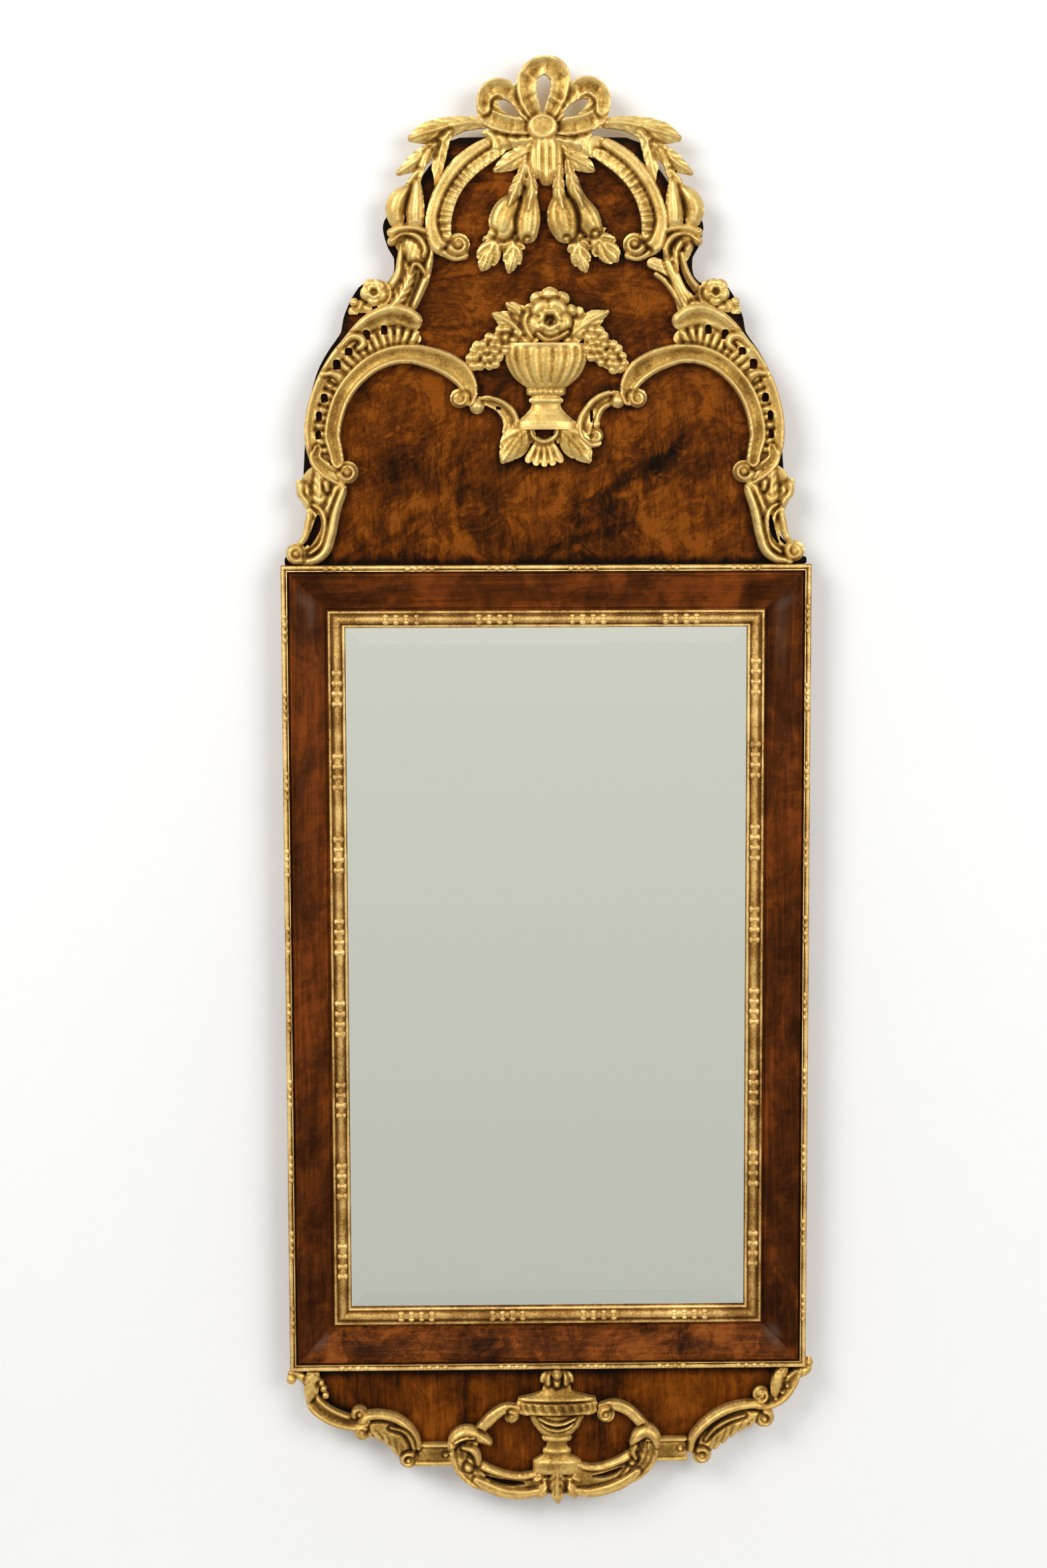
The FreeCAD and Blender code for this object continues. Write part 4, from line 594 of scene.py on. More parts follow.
    def teeth(self, rows, spacing, inner, outer, half, relief, base):
        """Short rounded teeth across a path, from one side of it to the other."""
        path = smooth(rows, 24)[:, :2]
        steps = np.hypot(*np.diff(path, axis=0).T)
        along = np.concatenate([[0], np.cumsum(steps)])
        for run in np.arange(spacing / 2, along[-1], spacing):
            x, z = (np.interp(run, along, path[:, k]) for k in (0, 1))
            ahead_x, ahead_z = (np.interp(run + 1, along, path[:, k]) for k in (0, 1))
            length = math.hypot(ahead_x - x, ahead_z - z) or 1
            side_x, side_z = -(ahead_z - z) / length, (ahead_x - x) / length
            self.rod([(x + side_x * inner, z + side_z * inner, half),
                      (x + side_x * outer, z + side_z * outer, half * 0.9)], relief, base)

    def rose(self, x, z, radius, relief, petals=5, turn=0.0, eye=0.42):
        """An open flower: a ring of rolled petals, a smaller ring in it and a hollow eye."""
        form = self.disc(x, z, radius)
        petal = np.abs(np.cos((form.run + turn) * petals / 2))
        inner_petal = np.abs(np.sin((form.run + turn) * petals / 2))
        reach = 1 - 0.2 * (1 - petal ** 0.5)
        out = form.across / reach
        outer_roll = np.sin(np.clip((out - 0.42) / 0.58, 0, 1) * math.pi)
        inner_roll = np.sin(np.clip((out - 0.2) / 0.42, 0, 1) * math.pi)
        outer = 0.5 + 0.36 * outer_roll ** 0.6 * petal ** 0.2
        inner = 0.6 + 0.38 * inner_roll * inner_petal ** 0.2
        height = relief * np.where(out > 0.56, outer, inner)
        height = np.where(out < 0.2, relief * (eye + 0.14 * np.cos(out * 16)), height)
        self.lay(Form(form.window, (reach - form.across) * radius), height)

    def grapes(self, outline, radius, relief, seed):
        """A bunch of small balls that fills an outline."""
        area = self.outline(outline)
        self.lay(area, relief * 0.45)
        x, z = self.x[area.window], self.z[area.window]
        chance = np.random.default_rng(seed)
        step = radius * 1.62
        for row, ball_z in enumerate(np.arange(z.min(), z.max(), step * 0.87)):
            for ball_x in np.arange(x.min() + row % 2 * step / 2, x.max(), step):
                off_x, off_z, swell = chance.uniform(-1, 1, 3) * (0.2 * step, 0.2 * step, 0.14)
                i = min(int((ball_x - x[0, 0]) / self.pitch), x.shape[0] - 1)
                j = min(int((ball_z - z[0, 0]) / self.pitch), x.shape[1] - 1)
                if area.edge[i, j] > -0.25 * radius:
                    rise = relief * (0.72 + 0.28 * min(max(area.edge[i, j], 0) / 7, 1))
                    self.ball(ball_x + off_x, ball_z + off_z, radius * (1 + swell), rise,
                              rise - radius * 1.3, undercut=0.12)

    def vase(self, axis, profile, relief, gadroons=None, rings=(), base=1.5):
        """A half-round turned vase from rows of (z, half width)."""
        zs, halves = zip(*profile)
        widest = max(halves)
        window = self.window((axis - widest, axis + widest), (zs[0], zs[-1]), 2)
        x, z = self.x[window] - axis, self.z[window]
        half = np.interp(z, zs, halves)
        turn = np.arcsin(np.clip(x / half, -1, 1))
        edge = np.minimum(half - np.abs(x), np.minimum(z - zs[0], zs[-1] - z))
        height = base + (relief - base) * np.cos(turn) ** 0.8 * (half / widest) ** 0.6
        for ring_z, size in rings:
            height += size * np.exp(-np.square((z - ring_z) / GROOVE)) * np.cos(turn)
        if gadroons:
            low, high, count, depth = gadroons
            fade = np.clip((z - low) / 3, 0, 1) * np.clip((high - z) / 2, 0, 1)
            height += depth * (np.abs(np.cos(turn * count)) ** 0.55 - 1) * fade
        self.lay(Form(window, edge), height)

    def fan(self, x, z, inner, outer, start, end, flutes, relief):
        """A shell: flutes that spread from a point between two angles in degrees."""
        window = self.window((x - outer, x + outer), (z - outer, z + outer), 3)
        away = np.hypot(self.x[window] - x, self.z[window] - z)
        angle = np.degrees(np.arctan2(self.z[window] - z, self.x[window] - x))
        share = (angle - start) / (end - start)
        wave = np.abs(np.sin(np.clip(share, 0, 1) * math.pi * flutes))
        reach = outer * (0.86 + 0.14 * wave ** 0.5)
        sides = np.minimum(share, 1 - share) * abs(math.radians(end - start)) * away
        edge = np.minimum(np.minimum(reach - away, away - inner), sides)
        height = GROUND + (relief - GROUND) * (0.35 + 0.65 * wave ** 0.6)
        height *= 0.72 + 0.28 * np.clip((away - inner) / (outer - inner), 0, 1)
        self.lay(Form(window, edge), height)

    def volute(self, x, z, radius, start, hand, relief, turns=1.1, width=0.42):
        """A scroll that winds in from a radius to a ball at its eye."""
        rows = []
        for share in np.linspace(0, 1, 10):
            angle = math.radians(start) + hand * share * turns * math.tau
            reach = radius * (1 - width) * (1 - 0.72 * share)
            rows.append((x + math.cos(angle) * reach, z + math.sin(angle) * reach,
                         radius * width * (1 - 0.45 * share)))
        self.ball(x, z, radius * 0.9, relief * 0.76, over=False)
        self.rod(rows, relief)
        self.ball(x, z, radius * 0.33, relief * 1.08)

    def leaf(self, rows, relief, lobes=7, lean=0.9, cut=0.34, base=2.6, over=True,
             sides=(1, 1), rib=1.2, sharp=0.0):
        """A carved leaf along a path: lobes that lean forward, a rib and a vein to each lobe.

        sharp is 0 for round lobes and 1 for pointed ones.
        """
        form = self.follow(rows)
        across = np.abs(form.across)
        side = np.where(form.across > 0, sides[0], sides[1])
        phase = form.run / form.length * lobes - lean * across * side
        part = phase - np.floor(phase)
        bulge = np.clip(1 - np.abs(2 * part - 1) ** (2 - sharp), 0, 1) ** (0.5 + 0.35 * sharp)
        reach = 1 - cut * side * (1 - bulge) * np.clip(1.15 - form.run / form.length, 0.3, 1)
        share = np.clip(across / reach, 0, 1)
        edge = np.minimum(form.edge, (reach - across) * form.half)
        dome = np.sqrt(np.clip(1 - (0.92 * share) ** 2, 0, 1))
        height = base + (relief - base) * dome
        height += 0.17 * relief * bulge * side * share * (1.2 - share)
        height -= 0.26 * relief * (1 - bulge) ** 2 * np.clip(share * 2.2, 0, 1) * side
        vein = np.exp(-np.square(form.across * form.half / GROOVE))
        height += rib * vein - rib * 0.8 * np.exp(
            -np.square((across * form.half - 2.6) / 1.2))
        self.lay(Form(form.window, edge), np.maximum(height, 1.0), over)

    def mesh(self, name, datum, back=VENEER_FACE, shade=None):
        """A smooth front, upright sides and a flat back on the board."""
        for _ in range(2):
            inside = self.edge > 0
            weight = blurred(inside.astype(float), 1)
            soft = blurred(np.where(inside, self.height, 0), 1) / np.maximum(weight, 1e-6)
            self.height = np.where(inside, 0.45 * self.height + 0.55 * soft, 0)
        self.height = np.clip(self.height, 0, TALLEST)
        inside[[0, -1], :] = False
        inside[:, [0, -1]] = False
        # How much lower than its surroundings each point lies, for the gilding's painted shade and
        # grime in hollows and its painted highlight on raised parts
        hollow = 0.5 * blurred(self.height, 3) + 0.5 * blurred(self.height, 7) - self.height
        corner = [(slice(None, -1), slice(None, -1)), (slice(1, None), slice(None, -1)),
                  (slice(1, None), slice(1, None)), (slice(None, -1), slice(1, None))]
        # Where two grid points inside meet only at a corner, both their neighbours join them.
        for first, second in ((0, 2), (1, 3)):
            others = [k for k in range(4) if k not in (first, second)]
            pinched = inside[corner[first]] & inside[corner[second]]
            pinched &= ~inside[corner[others[0]]] & ~inside[corner[others[1]]]
            inside[corner[others[0]]] |= pinched
        # One point for each cell with a grid point inside, drawn onto the outline that it holds
        edge = np.where(inside, np.maximum(self.edge, HAIR), np.minimum(self.edge, -HAIR))
        count = sum(inside[c].astype(int) for c in corner)
        cells = count > 0
        total, crossings = np.zeros((2, *cells.shape)), np.zeros(cells.shape)
        for k in range(4):
            a, b = corner[k], corner[(k + 1) % 4]
            split = inside[a] != inside[b]
            share = np.clip(edge[a] / np.where(split, edge[a] - edge[b], 1), 0.05, 0.95)
            for axis, place in enumerate((self.x, self.z)):
                total[axis] += np.where(split, place[a] + (place[b] - place[a]) * share, 0)
            crossings += split
        middle = [sum(place[c] for c in corner) / 4 for place in (self.x, self.z)]
        x, z = (np.where(crossings > 0, total[k] / np.maximum(crossings, 1), middle[k])
                for k in (0, 1))
        share_in = np.maximum(count, 1)
        stand = sum(np.where(inside[c], self.height[c], 0) for c in corner) / share_in
        mark = hollow if shade is None else shade
        depth = sum(np.where(inside[c], mark[c], 0) for c in corner) / share_in
        # A face before and behind each grid point inside, and a side where the next is outside
        number = np.full(cells.shape, -1)
        number[cells] = np.arange(cells.sum())
        i, j = np.nonzero(inside)
        ids = [number[i + a, j + b] for a, b in ((-1, -1), (0, -1), (0, 0), (-1, 0))]
        front = np.stack(ids, axis=1)
        behind = cells.sum()
        faces = [front, front[:, ::-1] + behind]
        for k, (a, b) in enumerate(((0, -1), (1, 0), (0, 1), (-1, 0))):
            open_side = ~inside[i + a, j + b]
            first, second = ids[k][open_side], ids[(k + 1) % 4][open_side]
            faces.append(np.stack([second, first, first + behind, second + behind], axis=1))
        flat = np.stack([x[cells] * MM, np.zeros(behind), datum + z[cells] * MM], axis=1)
        top, base = flat.copy(), flat.copy()
        top[:, 1] = back - stand[cells] * MM
        base[:, 1] = back
        mesh = face_mesh(name, np.vstack([top, base]), np.vstack(faces))
        smoothed(mesh, SHARP_CARVING)
        add_depths(mesh, "hollow" if shade is None else "shade", np.tile(depth[cells], 2))
        return mesh


# The grid points that the carvings cover, for the painted shade and dirt round them on the veneer
COVERED = {"crest": [], "apron": []}


def carved(relief, name, below=False):
    """Makes the mesh of a carving and puts it on the crest, or on the apron below the frame."""
    inside = relief.edge > 0
    COVERED["apron" if below else "crest"].append((relief.x[inside], relief.z[inside]))
    mesh = relief.mesh("carved_" + name, FRAME_FOOT if below else FRAME_TOP)
    own(placed("carved_" + name, mesh), APRON_GOLD if below else CREST_GOLD, "gilding", name)


def turned(side, narrow=1.0, shift=0.0):
    """What turns rows, drawn for the left side, over to the right one with its own width."""
    if side == "left":
        return list
    return lambda rows: [(shift - x * narrow, *rest) for x, *rest in rows]


# Crest

def make_arch(side):
    """The big moulded C scroll, with its outer rim and the pierced comb between them."""
    put = turned(side, 0.949, 9.5)
    arch = Relief(*((-262, -58) if side == "left" else (58, 262)), 70, 268)
    comb = put([(-228, 112, 10), (-229, 140, 10), (-225, 162, 10), (-216, 182, 11), (-203, 200, 13),
                (-188, 216, 15), (-172, 226, 15), (-155, 232, 13), (-142, 232, 10), (-132, 228, 6)])
    arch.band(comb, COMB, 7.5, 3)
    hand = 1 if side == "left" else -1
    arch.teeth(comb, 8.2, -11 * hand, 5.0 * hand, 3.9, 10.8, 6)
    rim = put([(-236, 104, 3), (-238.5, 122, 5), (-239, 140, 5), (-235, 162, 5.2),
               (-227, 184, 5.4), (-215, 205, 5.6), (-200, 223, 6.4), (-180, 242, 8.5),
               (-160, 251, 10.5), (-145, 250.5, 11), (-134, 245.5, 9.5)])
    arch.band(rim, sorted((across * hand, height) for across, height in LIPPED), 14)
    holes = ((-230.5, 131, 2.9, 4), (-229.5, 150, 3, 4.4), (-224, 168, 3.4, 4.2),
             (-211, 201.5, 3.8, 4.6), (-199, 214.5, 3.8, 3.6), (-181, 231, 3.6, 4.6),
             (-163, 236, 3.2, 4.4))
    for x, z, half_x, half_z in holes:
        (x, z), = put([(x, z)])
        corners = [(x - half_x, z - half_z), (x + half_x, z - half_z * 0.8),
                   (x + half_x * 0.8, z + half_z), (x - half_x * 0.9, z + half_z)]
        arch.pierce(arch.outline(corners))
    for hook in ([(-224, 192, 2.4), (-216, 193, 3.8), (-208, 189, 4.6), (-206, 181, 4.2),
                  (-212, 177, 3.2)],
                 [(-206, 220, 2.4), (-197, 229, 3.6), (-188, 229, 4.2), (-184, 222, 3.8),
                  (-189, 218, 3)]):
        arch.rod(put(hook), 13.5, 5)
    curl = put([(-231, 118, 4), (-233, 107, 6.5), (-224, 97, 8), (-210, 88, 7)])
    arch.band(curl, HOLLOWED, 11)
    band = put([
        (-211, 104, 6.5), (-214, 118, 7.5), (-216.5, 131, 8.3), (-213.5, 150, 8.4),
        (-206, 170, 8.6), (-193, 188, 8.8), (-175, 203, 9.2), (-155, 211, 9.5), (-135, 212.5, 9.8),
        (-115, 208, 11), (-100, 202, 11.6), (-88, 194, 11.6), (-79.5, 183, 9.4), (-76.5, 173, 7.2),
        (-78, 166, 5.6)])
    arch.band(band, HOLLOWED, 13)
    (x, z), = put([(-201.5, 94)])
    arch.volute(x, z, 12.4, 200 if side == "left" else -20, hand, 15, 1.25, 0.36)
    (x, z), = put([(-87.5, 168)])
    arch.volute(x, z, 10.8, 20 if side == "left" else 160, -hand, 16, 1.1)
    carved(arch, f"arch_scroll_{side}")


def make_foot(side):
    """The scroll that stands on the frame, with its split leaf."""
    put = turned(side, 1.0, -1.0)
    foot = Relief(*((-272, -196) if side == "left" else (196, 272)), 0.5, 100)
    foot.band(put([(-251, 8, 6), (-239, 10, 7.5), (-230, 21, 9), (-228, 36, 11.5), (-227, 52, 14),
                   (-228, 66, 17), (-229, 79, 20), (-230, 90, 12)]), STEM, 7.5)
    foot.leaf(put([(-226, 50, 5), (-219, 62, 9), (-214, 72, 8), (-207, 82, 3)]), 10.5, 4, cut=0.2)
    foot.leaf(put([(-233, 52, 5), (-239, 64, 8), (-243, 74, 7), (-251, 84, 3)]), 10.5, 4, cut=0.25)
    foot.leaf(put([(-231, 58, 4), (-230, 70, 8), (-229, 82, 8), (-231, 93, 4)]), 11.5, 4, cut=0.2)
    foot.rod(put([(-252, 20, 2.4), (-245, 29, 3.2), (-242, 42, 3.4), (-240, 54, 3.4),
                  (-243, 64, 3.4), (-249, 72, 3.6), (-249, 81, 4.2)]), 11.5)
    foot.rod(put([(-244, 17, 2), (-235, 25, 2.6), (-232.5, 38, 2.4), (-234, 50, 2.2),
                  (-239, 57, 1.6)]), 9)
    foot.rod(put([(-240, 12, 2.4), (-229, 21, 3), (-225, 34, 3.2), (-225, 46, 3), (-229, 56, 2.6),
                  (-236, 61, 2)]), 11)
    foot.rod(put([(-249, 4, 3.5), (-236, 5.5, 4.4), (-225, 14, 5), (-219, 30, 5), (-215.5, 47, 5),
                  (-212, 60, 4.6), (-207, 73, 4.2), (-205, 79, 2.6)]), 12.5)
    foot.rod(put([(-222, 76, 3), (-223, 83, 4)]), 13)
    if side == "left":
        slit = [(-240.5, 21, 1.6), (-236.5, 30, 3.6), (-233, 40, 4.2), (-231.5, 50, 1.6)]
    else:
        slit = [(236, 22, 1.2), (232, 30, 2.6), (229, 40, 3.0), (228, 49, 1.4)]
    foot.pierce(foot.follow(slit))
    x, z, turn = (-254, 12, 0) if side == "left" else (252.5, 13.5, 180)
    foot.volute(x, z, 11.8, turn - 60, -1 if side == "left" else 1, 14.5, 1.25, 0.36)
    carved(foot, f"foot_scroll_{side}")


def make_acanthus(side):
    """The column of leaf above the arch, with a rose at its foot."""
    put = turned(side, 0.985, 1.0)
    leaf = Relief(*((-202, -112) if side == "left" else (99, 202)), 252, 346)
    if side == "left":
        leaf.rod([(-152, 262, 17), (-144, 280, 15), (-135, 297, 12.5), (-132, 312, 14),
                  (-136, 327, 17)], 10, pitch=13, depth=1.6)
    else:
        leaf.rod([(150, 260, 17), (140, 274, 12), (132, 290, 9.5), (129, 304, 11), (134, 318, 14),
                  (136, 327, 15)], 8.5)
    for x, z, radius in ((-194, 255, 5), (-186, 260, 6.5), (-193, 264, 4.5), (-180, 258, 5)):
        (x, z), = put([(x, z)])
        leaf.ball(x, z, radius, 8.5)
    if side == "left":
        leaf.rod([(-163, 266, 3.6), (-157, 278, 4), (-149, 291, 3.6), (-146.5, 306, 3.2),
                  (-144, 321, 3)], 12)
        leaf.rod([(-133, 260, 3.4), (-128.5, 270, 4), (-122, 285, 4.2), (-118, 299, 3.8),
                  (-116, 313, 3.2), (-116, 326, 2.6)], 12)
        leaf.leaf([(-156, 258, 6), (-147, 268, 7), (-139.5, 282, 6.5), (-135, 296, 5),
                   (-132, 304, 2.5)], 13.5, 6, lean=1.7, cut=0.42, rib=0.8, sharp=0.8)
        leaf.fluted([(-145, 324), (-138, 329), (-124, 326), (-117, 316), (-121, 305), (-131, 300.5),
                     (-141, 306)], 12.5, -131, 5.6, 3.0, 5, -0.25)
        leaf.rod([(-135, 295, 1.8), (-132.5, 301.5, 2.3), (-126.5, 300, 2.6), (-121.5, 291.5, 2)],
                 14)
    else:
        leaf.band([(128, 291, 4.5), (118.5, 298, 5.4), (111, 301.5, 6), (107, 302.5, 5.2)],
                  REEDED, 11.5)
        leaf.rod([(111, 291.5, 2.2), (121, 283.5, 2.4), (130, 272, 2.8), (138.5, 259, 3.4)], 11.5)
        leaf.band([(122.5, 325, 3.2), (121.8, 315, 3.4), (124, 303, 4.4), (129, 291, 5.2),
                   (135.5, 277, 5.6), (145, 262, 8)], REEDED, 13)
        leaf.leaf([(133, 296, 2.4), (131, 306, 4.4), (132, 315, 5.4), (136, 323, 4)], 12, 4,
                  lean=1.5, cut=0.4, sharp=0.8)
        leaf.leaf([(141, 306, 2.4), (142, 314, 4.4), (145, 320, 3)], 11.5, 3, cut=0.3, sharp=0.6)
        leaf.rod([(137, 312, 2.6), (138.5, 304, 2.7), (141.5, 294.5, 2.8), (146, 286, 2.9),
                  (151.5, 279, 3.2), (159.5, 273, 4)], 13)
        leaf.rod([(147, 262, 3), (156, 262, 3.6), (164, 258, 4)], 12)
    leaf.rod(put([(-123, 309, 2.2), (-121.5, 317, 3.2), (-127, 327, 3.6), (-138, 333, 3.6),
                  (-149, 332, 4.4), (-155, 324, 4.2)]), 13.5)
    leaf.rod(put([(-120, 334, 3), (-132, 337.5, 3.6), (-146, 337, 4), (-155, 333, 4.5)]), 11.5)
    leaf.band(put([(-165, 262, 5), (-161, 272, 6.5), (-163, 281, 4)]), REEDED, 10.5)
    (x, z), = put([(-173, 274)])
    leaf.rose(x, z, 14, 13.5, 5, 0.4, 0.6)
    if side == "right":
        leaf.pierce(leaf.follow([(134.3, 300, 1.2), (136.5, 291.5, 1.9), (140.5, 282.5, 2.2),
                                 (145.5, 275.5, 2.3), (150.5, 271.5, 1.2)]))
    carved(leaf, f"acanthus_{side}")


def make_upper_scroll(side):
    """The scroll that bends in under the bow, ribbed along its inner half."""
    put = turned(side, 1.0, 1.5)
    scroll = Relief(*((-124, -38) if side == "left" else (38, 124)), 302, 434)
    spine = put([(-108, 326, 11), (-109, 340, 11.5), (-106.5, 355, 12), (-101, 371, 12),
                 (-91, 388, 12), (-77, 402.5, 12), (-62, 412, 11.5), (-49, 418, 10)])
    scroll.band(spine, TROUGH, 10)
    inner = put([(-101.5, 330, 6.5), (-102.5, 343, 7.6), (-100.5, 356, 8), (-95.5, 370, 8),
                 (-86.5, 384.5, 8), (-74, 397, 7.8), (-60, 406.5, 7), (-50, 411, 5)])
    scroll.band(inner, RIBBED, 12, 3.5, pitch=6.8, depth=3.8)
    scroll.band(put([
        (-96, 313.5, 6.5), (-108, 320, 7.6), (-113, 332, 6.6), (-114.7, 345, 6),
        (-111.7, 359.5, 5.9), (-105.4, 375.2, 6), (-95.6, 390.9, 6.2), (-82.9, 405.1, 6.2),
        (-69.2, 415, 5.8), (-59.4, 420.6, 5)]), SHALLOW, 13.5, 8)
    scroll.rod(put([(-101, 313, 4.4), (-92, 309.5, 4.6), (-82, 310.5, 4.2)]), 12)
    (x, z), = put([(-88, 321)])
    start, hand = (-150, 1) if side == "left" else (-30, -1)
    scroll.volute(x, z, 13, start, hand, 15.5, 1.0)
    carved(scroll, f"upper_scroll_{side}")


def make_spray(side):
    """Laurel leaves under the bow, with pears hanging outside the upper scroll."""
    put = turned(side, 0.99, 0.0)
    spray = Relief(*((-164, -18) if side == "left" else (18, 164)), 334, 452)
    spray.band(put([(-20, 440, 4), (-40, 441, 4.5), (-60, 442, 5)]), FLAT, 5)
    spray.leaf(put([(-62, 441, 5), (-82, 440.5, 7.5), (-103, 435.5, 11), (-120, 431, 10),
                    (-135, 426, 3)]), 10, 5, lean=1.4, cut=0.14, rib=1.6)
    spray.leaf(put([(-96, 432, 4), (-103, 422, 7), (-106, 408, 6.5), (-109, 394, 5.5),
                    (-113, 380, 2)]), 8.5, 5, cut=0.2)
    spray.leaf(put([(-110, 420, 4), (-120, 411, 8), (-132, 402, 8), (-148, 391.5, 2)]),
               9.5, 5, lean=1.3, cut=0.16, rib=1.4)
    spray.band(put([(-117, 414, 3), (-123, 401, 3.4), (-128, 388, 4), (-133, 376, 4)]), REEDED, 9.5)
    spray.rod(put([(-128, 394, 2.6), (-137, 381, 3), (-143, 370, 3)]), 8)
    spray.fruit(put([(-139, 376, 4), (-147, 367, 9), (-151, 356, 10), (-150, 346, 8)]), 13.5, 2)
    spray.fruit(put([(-129, 382, 4), (-130, 368, 7.5), (-131, 354, 9.5), (-131, 344, 8.5)]),
                14.5, 3)
    spray.pierce(spray.outline(put([
        (-117, 399), (-113, 392), (-112, 378), (-117, 374), (-120, 384), (-119, 394)])))
    carved(spray, f"fruit_spray_{side}")


def make_bow():
    """The ribbon bow: three loops, two pleated tails and the flat round knot over them."""
    bow = Relief(-74, 66, 400, 507)
    for tail, lean in (
            ([(-10, 430), (-24, 429), (-38, 430.5), (-55, 434), (-64, 432.5), (-56.5, 422),
              (-61.5, 409.5), (-50, 410), (-37, 415), (-23, 418.5), (-10, 423)], 0.35),
            ([(4, 430), (16, 428), (29, 428.5), (46, 432), (43.5, 419), (49.5, 407), (36, 411),
              (21, 417.5), (6, 423)], -0.35)):
        bow.fluted(tail, 11, 0.5, 10.5, 3.2, 5, lean)
    for lining, lean in (
            ([(-63, 468), (-54, 478), (-40, 474), (-26, 456), (-34, 443), (-54, 446), (-64, 456)],
             1.2),
            ([(60, 468), (50, 479), (36, 475), (20, 456), (28, 442), (50, 446), (60, 456)],
             -1.2)):
        bow.fluted(lining, 8.5, 0.0, 8.0, 2.0, 5, lean)
    for ribbon, relief in (
            ([(-12, 437, 6.5), (-30, 438, 9), (-46, 441.5, 9.5), (-58, 448, 8.5), (-62, 458, 7)],
             11),
            ([(-61.5, 455, 6.6), (-61.5, 464, 7.4), (-56, 472.5, 8.4), (-46, 475.5, 9),
              (-35, 470, 9), (-26, 460, 8), (-14, 446, 6)], 13),
            ([(8, 437, 6.5), (25, 437.5, 9), (40, 441, 9.5), (52, 447, 9), (57, 457, 7.5)], 11),
            ([(57, 454, 7), (57.5, 464, 7.8), (52, 473, 8.8), (42, 477.5, 9), (31, 473, 9),
              (21, 462, 8), (9, 446, 6)], 13),
            ([(-9, 446, 6), (-15, 458, 8.5), (-19, 471, 9.8), (-17.5, 484, 10.4),
              (-9.5, 493, 11), (0, 496, 11), (10, 493, 10.8), (15, 484, 10), (13.5, 470, 9),
              (8.5, 458, 8), (3, 446, 6)], 13)):
        bow.band(ribbon, RIBBON, relief, pitch=15.0, depth=2.4)
    for eye in ([(-47, 464.5), (-40, 464), (-31.5, 457.5), (-28.5, 449), (-36, 449), (-46, 457)],
                [(-7.5, 484.5), (-2, 489), (3, 486), (3.8, 475.5), (1, 465), (-3, 457),
                 (-6, 459), (-9, 471)],
                [(17, 450), (22.5, 457), (30, 463), (37.5, 465), (42.5, 464.5), (42, 460),
                 (36, 453), (28, 447), (21, 446.5)]):
        bow.pierce(bow.outline(eye, 3))
    knot = bow.disc(-3, 437, 15.5, 0.84)
    face = np.where(knot.across < 0.72, 13.5 - 0.8 * np.square(knot.across / 0.72),
                    14.5 - 20 * np.square(np.clip(knot.across - 0.8, 0, 1)) * 5)
    bow.lay(knot, np.where(knot.edge > 0, np.maximum(face, 8), 0))
    carved(bow, "ribbon_bow")


def make_centre_leaf():
    """The fluted leaf that hangs under the bow, between two flat ones."""
    leaf = Relief(-56, 54, 376, 431)
    for flat in ([(-12, 416, 7), (-24, 410, 9), (-36, 403, 9), (-50, 395, 3)],
                 [(14, 414, 7), (26, 407, 9), (36, 402, 9), (47, 395, 3)]):
        leaf.leaf(flat, 8.5, 4, cut=0.2)
    leaf.fluted([(-9, 429), (9, 429), (16.5, 416), (18.5, 402), (18, 391), (13.5, 384.5),
                 (9, 387), (5, 380), (-3, 380), (-7, 386.5), (-12, 384), (-16.5, 391),
                 (-17.5, 402), (-15.5, 416)], 15, 0.5, 7.6, 4.4)
    carved(leaf, "centre_leaf")


def make_fruit_drop(side):
    """Two fluted pears on leafy stalks, with serrated leaves below them."""
    if side == "left":
        drop = Relief(-74, -2, 292, 404)
        drop.leaf([(-42, 336, 8), (-50, 324, 13), (-57, 312, 13), (-64, 297, 3)], 10.5, 4.5,
                  lean=1.5, cut=0.5, sharp=0.9)
        drop.leaf([(-37, 334, 6), (-33, 322, 11), (-33, 310, 11), (-37, 294.5, 2.5)], 11.5, 4.5,
                  lean=1.5, cut=0.46, sharp=0.9)
        drop.fruit([(-33, 364, 8), (-37.5, 354, 14.5), (-41, 345, 16), (-43, 337, 13)], 15, 4)
        drop.ball(-54, 332, 4.4, 9)
        drop.ball(-29, 329, 4, 10)
        drop.fruit([(-17, 372, 7), (-16.5, 359, 9.5), (-18, 345, 12.5), (-19, 333, 11)], 16, 3)
        drop.ball(-18.5, 325.5, 3.6, 13)
        stalks = ([(-21, 402, 4), (-24.5, 388, 6), (-30, 375, 7), (-37, 359, 2.5)],
                  [(-18, 397, 4), (-15, 384, 5.5), (-14, 371, 6), (-18, 354, 2)])
    else:
        drop = Relief(0, 78, 292, 404)
        drop.leaf([(48, 334, 9), (55, 324, 14), (62, 315, 13), (71, 306, 3)], 10.5, 4, lean=1.5,
                  cut=0.42, sharp=0.9)
        drop.leaf([(31, 334, 7), (33, 321, 12), (35, 309, 11), (40, 295, 2.5)], 11.5, 4.5,
                  lean=1.5, cut=0.46, sharp=0.9)
        drop.rod([(16, 329, 3), (24, 327, 4), (34, 330, 4)], 9)
        drop.fruit([(28, 378, 6.5), (33, 362, 10), (41, 348, 13), (47, 338, 10)], 15, 3)
        drop.ball(50, 331.5, 4, 11)
        drop.fruit([(15, 364, 9), (16.5, 354, 14.5), (18, 344, 15.8), (20, 335, 12.5)], 16, 4)
        drop.ball(21, 326, 3.8, 12)
        stalks = ([(14, 398, 4), (13, 385, 5.5), (13, 372, 6.5), (17, 356, 2.5)],
                  [(22, 402, 4), (25, 389, 6), (29, 375, 7), (37, 358, 2.5)])
    for stalk in stalks:
        drop.leaf(stalk, 17, 4, lean=1.3, cut=0.3, base=6, over=False, sharp=0.8)
    carved(drop, f"fruit_drop_{side}")


